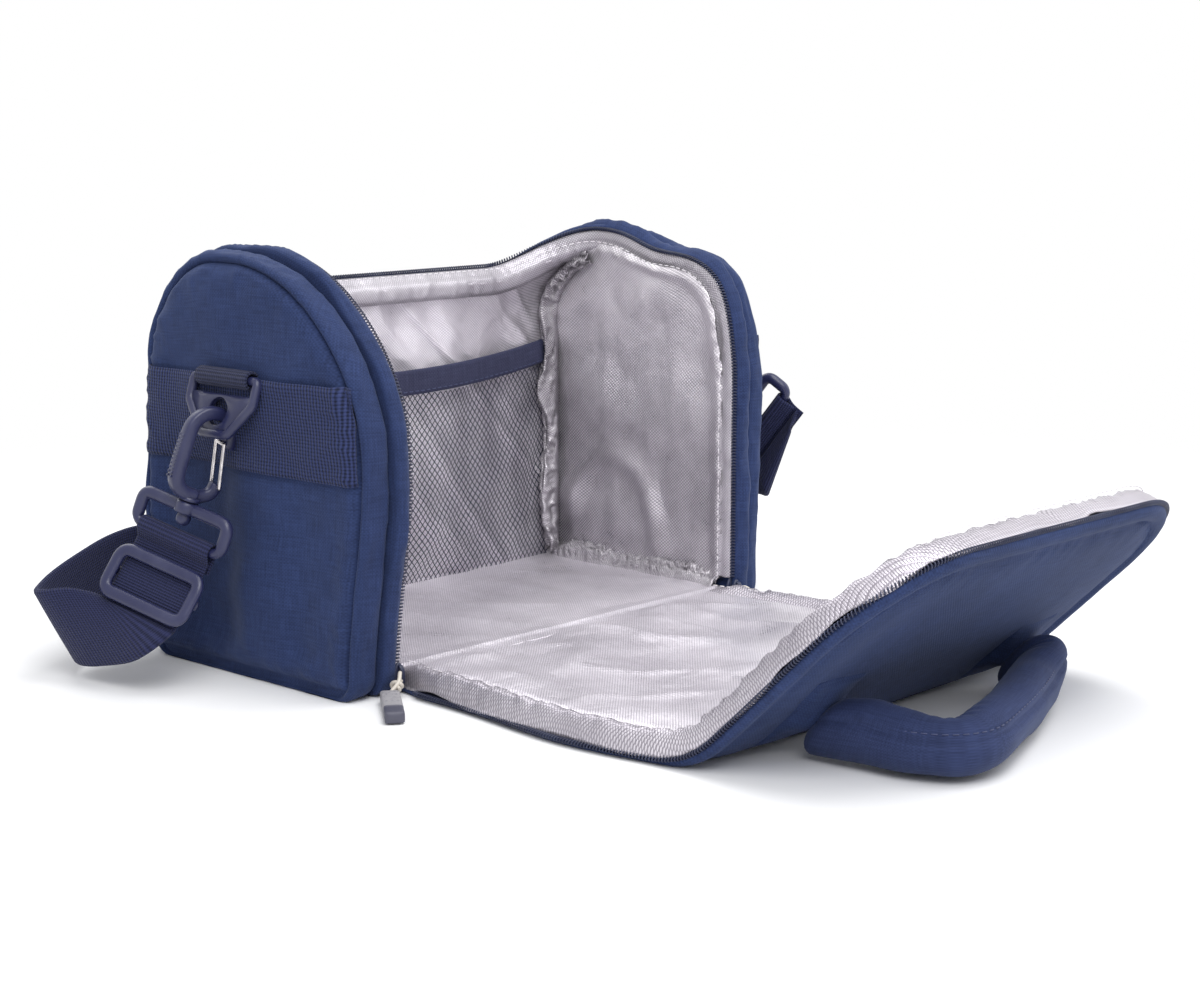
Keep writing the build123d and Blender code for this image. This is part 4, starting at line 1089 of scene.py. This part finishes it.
def closed(points, radius, count):
    """A closed path with rounded corners, its points at equal steps."""
    flat = corners(points, radius, 9)
    return resample(np.concatenate([flat, flat[:1]]), count + 1)[:-1]


def ring_frame(side):
    """The middle of a ring's bar, its width direction and its up direction."""
    tilt = math.radians(18)
    return (np.array([side * RING_X, RING_Y, RING_Z]), np.array([0, 1.0, 0]),
            np.array([-side * math.sin(tilt), 0, math.cos(tilt)]))


def ring_plate(side):
    """Moulded ring: a round bar, a raised rim along its arms, and a thinner plate with a hole."""
    origin, x, y = ring_frame(side)
    normal = np.cross(x, y)
    flat = corners([(-20.4, -0.2), (-20.4, -10.2), (-8.3, -23.4), (8.3, -23.4), (20.4, -10.2),
                    (20.4, -0.2)], 2.2)
    rim = bent_rod("rim", in_plane(origin, x, y, flat), normal, round_section(2.0, 2.1, 14), loop=True)
    a = circle(72)
    aim = xyz(np.cos(a), np.sin(a))
    hole = 5.8
    walls = np.array([(0, 1, 7.2), (0, -1, 9.2), (1, 0, 20.2), (-1, 0, 20.2),
                      (0.745, -0.667, 13.0), (-0.745, -0.667, 13.0)])
    facing = aim @ walls[:, :2].T
    reach = np.min(np.where(facing > 1e-6, walls[:, 2] / np.maximum(facing, 1e-6), 99), 1)
    profile = [(0, -0.6), (0, 0.6), (0.05, 1.1), (0.3, 1.0), (1, 0.8), (1, -0.8), (0.3, -1.0), (0.05, -1.1),
               (0, -0.6)]
    grid = np.stack([in_plane(origin, x, y, aim * (hole + (reach - hole) * share)[:, None] + (0, -14), out)
                     for share, out in profile])
    plate = surface("plate", grid, ring=True, merge=True, flip=True)
    lip_path = in_plane(origin, x, y, xyz(6.4 * np.cos(a), -14 + 6.4 * np.sin(a)), 0.9)
    lip = bent_rod("lip", lip_path, normal, round_section(0.8, 0.7, 8), loop=True)
    return joined(f"ring_plate_{side_name(side)}", [rim, plate, lip])


def hook_frame(side):
    """A hook's crown, its direction towards the gate and its up direction."""
    if side < 0:
        origin, up, facing = (-145.63, -1.52, 110.75), (0.27, -0.19, 0.95), (0.97, -0.24, 0)
    else:
        origin, up, facing = (144.97, -4.94, 111.62), (-0.34, 0.71, 0.61), (0.97, 0.20, 0)
    up = unit(up)
    return np.asarray(origin, float), unit(np.asarray(facing) - up * np.dot(facing, up)), up


def snap_hook(side):
    """Moulded snap hook: a bow that thickens down its back to the base, a short post for the
    gate, two rows of grip studs down the back, and a stem with a ball under the swivel."""
    origin, x, y = hook_frame(side)
    z = np.cross(x, y)
    turn = np.radians(np.linspace(180, 0, 15))
    flat = np.concatenate([[(1.5, -32.6), (-4.5, -31.8), (-8.4, -28.5), (-9.3, -23), (-9.3, -12)],
                           xyz(9.25 * np.cos(turn), -6.5 + 9.25 * np.sin(turn)), [(9.2, -10.3)]])
    flat = resample(rounded(flat, 2), 90)
    path = in_plane(origin, x, y, flat)
    s = along(path) / along(path)[-1]
    back = ease(0.62, 0.35, s)
    size = xyz(2.75 + 0.25 * back - 0.25 * ease(0.95, 1, s), 2.7 + 0.9 * back - 0.4 * ease(0.93, 1, s))
    square = round_section(1, 1, 20, 0.6)
    bow = bent_rod("bow", path, z, square, size=size)
    flat = resample(rounded([(-2.0, -32.8), (5.0, -32.2), (8.6, -29.5), (9.25, -25.6)], 2), 30)
    post = bent_rod("post", in_plane(origin, x, y, flat), z, square, size=np.full((30, 2), 2.6))
    stem = turned("stem", origin - y * 33, -y,
                  [(0, 0), (4.6, 0.2), (4.7, 1.6), (2.6, 2.2), (2.6, 7.8), (2.9, 8.4), (3.1, 9.6), (2.7, 11.2),
                   (1.6, 12.3), (0, 12.7)], 24)
    made = [bow, post, stem]
    for level in (-1.5, 1.5):
        for k in range(11):
            at = in_plane(origin, x, y, [(-12.1, -9.0 - 1.75 * k)], level)[0]
            made.append(turned("stud", at, -x, [(0, -0.6), (0.62, -0.2), (0.5, 0.25), (0, 0.45)], 8))
    return joined(f"snap_hook_{side_name(side)}", made)


def swivel_frame(side):
    """Swivel loop: a flattened rod bent into a frame, its corners well rounded, with a turned
    boss in its top bar."""
    origin, x, y, _ = LOOPS[side]
    flat = closed([(-22.4, 0), (-22.4, -13.2), (22.4, -13.2), (22.4, 0)], 4.6, 120)
    low = ease(-9, -13, flat[:, 1])
    size = xyz(2.75 - 0.65 * low, 2.45 - 0.35 * low)
    rod = bent_rod("rod", in_plane(origin, x, y, flat), np.cross(x, y), round_section(1, 1, 16), True, size)
    boss = turned("boss", origin, y, [(2.7, -2.4), (4.4, -2.4), (4.9, -1.9), (4.9, 1.6), (4.3, 2.5), (2.8, 2.6),
                                      (2.7, 2.2), (2.7, -2.4)], 28, flip=True)
    return joined(f"swivel_frame_{side_name(side)}", [rod, boss])


def slide_frame():
    """Strap slide: a rounded frame in front of the webbing, and a bar behind it whose ends
    bend forward to the frame."""
    origin, x, up, out = LOOPS[-1]
    y = up * math.cos(SLIDE_LEAN) - out * math.sin(SLIDE_LEAN)
    centre = origin - up * 19.2 - y * 16.0
    flat = closed([(-20.8, -9.4), (20.8, -9.4), (20.8, 9.4), (-20.8, 9.4)], 5.0, 140)
    path = in_plane(centre, x, y, flat, 2.7)
    front = bent_rod("front", path, np.cross(x, y), round_section(2.7, 1.7, 16), loop=True)
    path = in_plane(centre, x, y, [(-22, 0), (-21, 0), (0, 0), (21, 0), (22, 0)], [0.6, -2.3, -2.5, -2.3, 0.6])
    bar = ribbon("bar", resample(rounded(path, 2), 50), y, round_section(2.0, 1.2, 12))
    return joined("slide_frame", [front, bar])


def zip_slider(side):
    """Zip slider: two shield-shaped plates and a bridge for the pull."""
    x0, y0, z0 = side * BAIL[0], -67.4, BAIL[2]
    a = circle(32)
    shape = xyz(2.6 * np.cos(a) * (1.0 - 0.16 * np.sin(a)), 5.4 * np.sin(a))
    rows = np.stack([shape * k for k in (0, 0.85, 1.0, 1.0, 0.85, 0)])
    high = np.array([0.72, 0.7, 0.35, -0.35, -0.7, -0.72])[:, None]
    made = [surface("plate", xyz(x0 + rows[..., 0], y0 + out - high, z0 + rows[..., 1]), ring=True, merge=True)
            for out in (-0.9, 2.9)]
    t = np.pi * np.linspace(0, 1, 24)
    path = xyz(x0, y0 - 1.7 - 2.0 * np.sin(t) ** 0.7, z0 + 4.0 * np.cos(t))
    made.append(ribbon("bridge", path, (1.0, 0, 0), round_section(1.1, 0.6, 10)))
    return joined(f"zip_slider_{side_name(side)}", made)


def pull_line(side):
    """A slider's bail, the near end of its pull, and the direction the pull lies in."""
    bail = BAIL * (side, 1, 1)
    ahead = unit((-0.622, -0.783, 0) if side < 0 else (0.120, -0.993, 0))
    return bail, bail + (side * 10.0, -2.5, -5.6), ahead


def pull_bar(side):
    """Rubber pull: a rounded bar with a raised panel of cross ridges and a plain blunt end."""
    _, start, ahead = pull_line(side)
    s = np.concatenate([[0, 0.3, 0.9], np.linspace(1.6, 32.6, 120), [33.2, 33.7, 34.0]])
    near, far = np.maximum(1.2 - s, 0) / 1.3, np.maximum(s - 32.8, 0) / 1.4
    full_size = np.sqrt(np.maximum(1 - np.maximum(near, far) ** 2, 0.2))
    path = start + ahead * s[:, None] + (0, 0, 0.1)
    wide = unit(np.cross((0, 0, 1.0), ahead))
    panel = ease(3.0, 3.6, s) * ease(25.5, 24.9, s)
    ridge = panel * (0.10 + 0.16 * (np.sin(s * TAU / 2.4) > 0))
    size = xyz(full_size, full_size * (1 - 0.10 * panel + ridge))
    wide, up = (np.tile(v, (len(s), 1)) for v in (wide, (0, 0, 1.0)))
    return sweep(f"pull_bar_{side_name(side)}", path, wide, up, round_section(4.0, 2.5, 32, 0.35), size=size)


def pull_cord(side):
    """Braided cord from the slider's bail to the pull, with a knot at its middle."""
    bail, start, ahead = pull_line(side)
    middle = (bail + start) / 2
    a = np.array([bail + (side * 1.0, 1.0, 1.5), bail + (side * 2.6, -0.6, 2.0), middle + (0, -1.6, 1.8),
                  start + (0, 0, 1.0), start + ahead * 3.0])
    b = np.array([bail + (0, 1.0, -1.5), bail + (side * 2.0, 0.2, -2.0), middle + (0, 1.8, -0.8),
                  start + (0, 0, -0.6), start + ahead * 3.0])
    run = unit(start - bail)
    s1 = unit(np.cross(run, (0, 0, 1)))
    s2 = np.cross(run, s1)
    k = np.linspace(0, TAU * 1.6, 46)
    knot = (middle + (0, 0, 0.2) + run * np.linspace(-1.7, 1.7, 46)[:, None]
            + s1 * (2.1 * np.cos(k))[:, None] + s2 * (1.7 * np.sin(k))[:, None])
    made = []
    for n, p in enumerate((a, b, knot)):
        p = resample(rounded(p, 3), 60) if n < 2 else p
        t = slope(p)
        x = unit(np.cross(t, (0.1, 0.2, 1.0)))
        made.append(sweep(f"cord_{n}", p, x, np.cross(t, x), round_section(0.85, 0.85, 10)))
    return joined(f"pull_cord_{side_name(side)}", made)


def mesh_sheet():
    """Pocket net: bellied off the back wall, hanging a little between its corners."""
    x, v = np.meshgrid(np.linspace(-109, 109, 121), np.linspace(0, 1, 51), indexing="ij")
    top = 102 + 7 * (x / 105) ** 2
    z = 8.8 + (top - 8.8) * v
    p = xyz(x, 0, z)
    slack = (1.5 * ripple(p, 48, 141) + ripple(p, 22, 142)) * ease(0, 12, 109 - np.abs(x))
    bow = (1 - (x / 110) ** 2) * (6.5 + 2.5 * v) + slack
    y = 55.2 - bow * ease(-0.2, 0.25, v)
    return surface("pocket_net", settled(xyz(x, y, z)), flip=True)


def pocket_hem():
    """Cloth folded over the net's top edge."""
    x = np.linspace(-109.3, 109.3, 140)
    z = 108.0 + 7 * (x / 105) ** 2
    y = 55.0 - (1 - (x / 110) ** 2) * (9 + 1.2 * ripple(xyz(x, 0, z), 60, 143))
    path = settled(xyz(x, y, z))
    t = slope(path)
    up = np.tile([0.0, 0.0, 1.0], (len(path), 1))
    wide = unit(up - t * (up * t).sum(1, keepdims=True))
    return sweep("pocket_hem", path, wide, np.cross(wide, t), strip_section(12.0, 2.2, 0.15, 12)), path, wide


# --- pieces put in place
for side in (-1, 1):
    n = side_name(side)
    dress(end_cover(side), cloth, "bag", [f"end_cap_{n}", f"cap_pad_{n}"])
    dress(band_cover(side), cloth, "bag", [f"band_{n}", f"foam_end_{n}"])
    dress(end_band(side), band_cloth, "bag", [f"cap_band_{n}"])
    sheet = dress(end_lining(side), silver_end_shaded, "bag", [f"lining_end_{n}"])
    tab_cloth = belt("tab webbing " + n, (0.034, 0.040, 0.090), (0.008, 0.010, 0.026), 1.6)
    for piece, finish, body, slot, node in (
            (ring_tab, tab_cloth, "bag", "webbing", "ring_tab_"),
            (strap_tail, strap_cloth, f"swivel_{n}", "webbing", "strap_tail_"),
            (pull_cord, cream, f"pull_{n}", "pull_cord", "pull_loop_"),
            (pull_bar, pull_rubber, f"pull_{n}", "pull_tab", "pull_tab_"),
            (zip_slider, coil_finish, f"slider_{n}", "slider_metal", "slider_"),
            (ring_plate, hard, f"ring_{n}", "dark_plastic", "ring_"),
            (snap_hook, hard, f"hook_{n}", "dark_plastic", "hook_"),
            (swivel_frame, hard, f"swivel_{n}", "dark_plastic", "swivel_loop_")):
        dress(piece(side), finish, body, [node + n])
    dress(ruffle(f"seam_upright_{n}", *upright_seam(side), 9.5, 151), silver_fold_shaded, "bag")
    low = xyz(side * SEAM_X, np.linspace(-56, 57, 60), 10.0)
    dress(ruffle(f"seam_floor_{n}", low, (-side * 0.35, 0, 1.0), 6.0, 161), silver_fold_shaded, "bag")

dress(back_cover(), cloth, "bag", ["shell_back", "foam_back"])
sheet = dress(back_lining(), silver, "bag", ["lining_back"])
sheet = dress(floor_lining(), silver, "bag", ["lining_floor"])
dress(base_cover(), cloth, "bag", ["shell_base", "foam_base", "base_board"])

zip_path, zip_up, zip_across = opening_line()
dress(opening_edge(zip_path, zip_up, zip_across), silver_edge, "bag")
dress(coil("zip_coil_bag", zip_path, zip_across, zip_up), coil_finish, "bag", ["zip_coil_body"])
dress(tape("zip_tape_bag", zip_path, zip_across, zip_up), trim, "bag")
hem_line = zip_path - zip_up * 6.2 + zip_across * 3.6
dress(stitches("edge_stitches", hem_line, zip_across), thread, "bag")

pocket = dress(mesh_sheet(), net_finish, "bag", ["mesh_pocket"])
hem, hem_path, hem_wide = pocket_hem()
dress(hem, trim, "bag", ["pocket_binding"])
hem_up = np.tile([0, -1.0, 0], (len(hem_path), 1))
dress(stitches("pocket_stitches", hem_path - hem_wide * 4.2, hem_up, lift=1.2), navy_thread, "bag")

FOLDING = ("flap_front", "flap_top", (0, -0.203, 0.008), (0, -0.239, 0.014))
fs, fx, fd = flap_grid()
inner = surface("flap_lining", flap_lining(fs, fx, fd), flat=xyz(fx, fs))
mark(inner, "inset", fd)
dress(thicken(inner, 0.6), silver_flap, None,
                ["flap_front_lining", "flap_front_foam", "flap_top_lining", "flap_top_foam"], FOLDING)
outer = layer("flap_cover", flap_cover(fs, fx, fd), 0.8, flat=xyz(fx, fs))
dress(outer, cloth, None, ["flap_front_shell", "flap_top_shell"], FOLDING)
edge_path, edge_out, edge_up = flap_edge(20, 2.6)
dress(coil("zip_coil_flap", edge_path, edge_out, edge_up), coil_finish, None,
      ["zip_coil_flap_front", "zip_coil_flap_top"], FOLDING)
dress(tape("zip_tape_flap", edge_path, edge_out, edge_up), trim, None, (), FOLDING)
seam_path, _, seam_up = flap_edge(4, 11.4, out=-6.2)
dress(stitches("flap_stitches", seam_path, seam_up, lift=0.5), thread, None, (), FOLDING)
sheet = dress(hinge_lining(), silver, None, (),
              ("bag", "flap_front", (0, -0.0545, 0.008), (0, -0.0635, 0.008)))

ROOTED = ("flap_top", "handle", (0, -0.2505, 0.0114), (0, -0.270, 0.0114))
grip, grip_seam, grip_facing = handle_grip()
dress(grip, grip_cloth, None, ["handle_grip"], ROOTED)
dress(stitches("grip_stitches", grip_seam, grip_facing, lift=0.1), navy_thread, None, (), ROOTED)
patches = joined("handle_root_patches", [root_patch(-66), root_patch(66)])
dress(patches, cloth, "flap_top", ["handle_patches"])

dress(slide_frame(), hard, "adjuster", ["slide_adjuster"])
sp, sw, st = long_strap()
dress(sweep("shoulder_strap_webbing", sp, sw, st, strip_section(WEBBING, 2.8, 0.15, 14)), strap_cloth, "bag",
      ["shoulder_strap"])

for name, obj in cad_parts.items():
    if not obj.hide_render:
        obj.data.materials.clear()
        obj.data.materials.append(wire if name.startswith("hook_gate") else hard)

# --- camera, floor and light
scene = bpy.context.scene
azimuth, height = math.radians(47.26), math.radians(10.2)
distance, focal_share = 0.969, 2235 / 1200      # metres; focal length over the frame's width
target = Vector((0, -0.080, 0.068))
away = Vector((-math.sin(azimuth) * math.cos(height), -math.cos(azimuth) * math.cos(height), math.sin(height)))
camera = placed("camera", bpy.data.cameras.new("camera"))
camera.location = target + away * distance
camera.rotation_euler = (-away).to_track_quat("-Z", "Y").to_euler()
camera.data.sensor_width = 36
camera.data.lens = focal_share * camera.data.sensor_width
camera.data.clip_start, camera.data.clip_end = 0.02, 50
scene.camera = camera

ground = Mix("pale floor")
_, (gx, gy, _) = places(ground)
far = ((gx * gx + (gy + 80.0) * (gy + 80.0)).power(0.5)).span(330.0, 720.0)
clear = ground.node("BsdfTransparent", None, 0)
paint = ground.node("BsdfDiffuse", None, 0, Color=(0.92, 0.92, 0.925, 1))
both = ground.node("MixShader", None, 0, i0=far, i1=paint, i2=clear)
end = ground.tree.nodes.new("ShaderNodeOutputMaterial")
ground.tree.links.new(both.socket, end.inputs["Surface"])
floor_mesh = bpy.data.meshes.new("floor")
floor_mesh.from_pydata([(-1.2, -1.2, 0), (1.2, -1.2, 0), (1.2, 1.2, 0), (-1.2, 1.2, 0)], [], [(0, 1, 2, 3)])
floor_mesh.materials.append(ground.made)
placed("floor", floor_mesh)

world = bpy.data.worlds.new("studio")
scene.world = world
world.use_nodes = True
tree = world.node_tree
tree.nodes.clear()
out = tree.nodes.new("ShaderNodeOutputWorld")
mixer = tree.nodes.new("ShaderNodeMixShader")
path_node = tree.nodes.new("ShaderNodeLightPath")
for k, (colour, strength) in enumerate((((0.97, 0.98, 1.0, 1), 0.62), ((1, 1, 1, 1), 1.0))):
    sky = tree.nodes.new("ShaderNodeBackground")
    sky.inputs["Color"].default_value, sky.inputs["Strength"].default_value = colour, strength
    tree.links.new(sky.outputs[0], mixer.inputs[k + 1])
seen = path_node.outputs["Is Camera Ray"]
for other in ("Is Glossy Ray", "Is Transmission Ray"):
    either = tree.nodes.new("ShaderNodeMath")
    either.operation = "MAXIMUM"
    tree.links.new(seen, either.inputs[0])
    tree.links.new(path_node.outputs[other], either.inputs[1])
    seen = either.outputs[0]
tree.links.new(seen, mixer.inputs[0])
tree.links.new(mixer.outputs[0], out.inputs["Surface"])


def lamp(name, place, aim, size, power):
    """A square soft light aimed at a point."""
    light = bpy.data.lights.new(name, "AREA")
    light.size, light.energy = size, power
    obj = placed(name, light)
    obj.location = place
    obj.rotation_euler = (Vector(aim) - Vector(place)).to_track_quat("-Z", "Y").to_euler()


lamp("key", (-0.9, -1.2, 1.5), (0, -0.05, 0.08), 1.0, 20)
lamp("fill", (1.3, -1.1, 0.9), (0, -0.05, 0.08), 1.4, 7)
lamp("back", (0.3, 1.3, 1.4), (0, 0, 0.1), 1.2, 9)
lamp("top", (0.1, -0.45, 1.5), (0, -0.10, 0.05), 0.9, 10)

scene.view_settings.view_transform = "Standard"
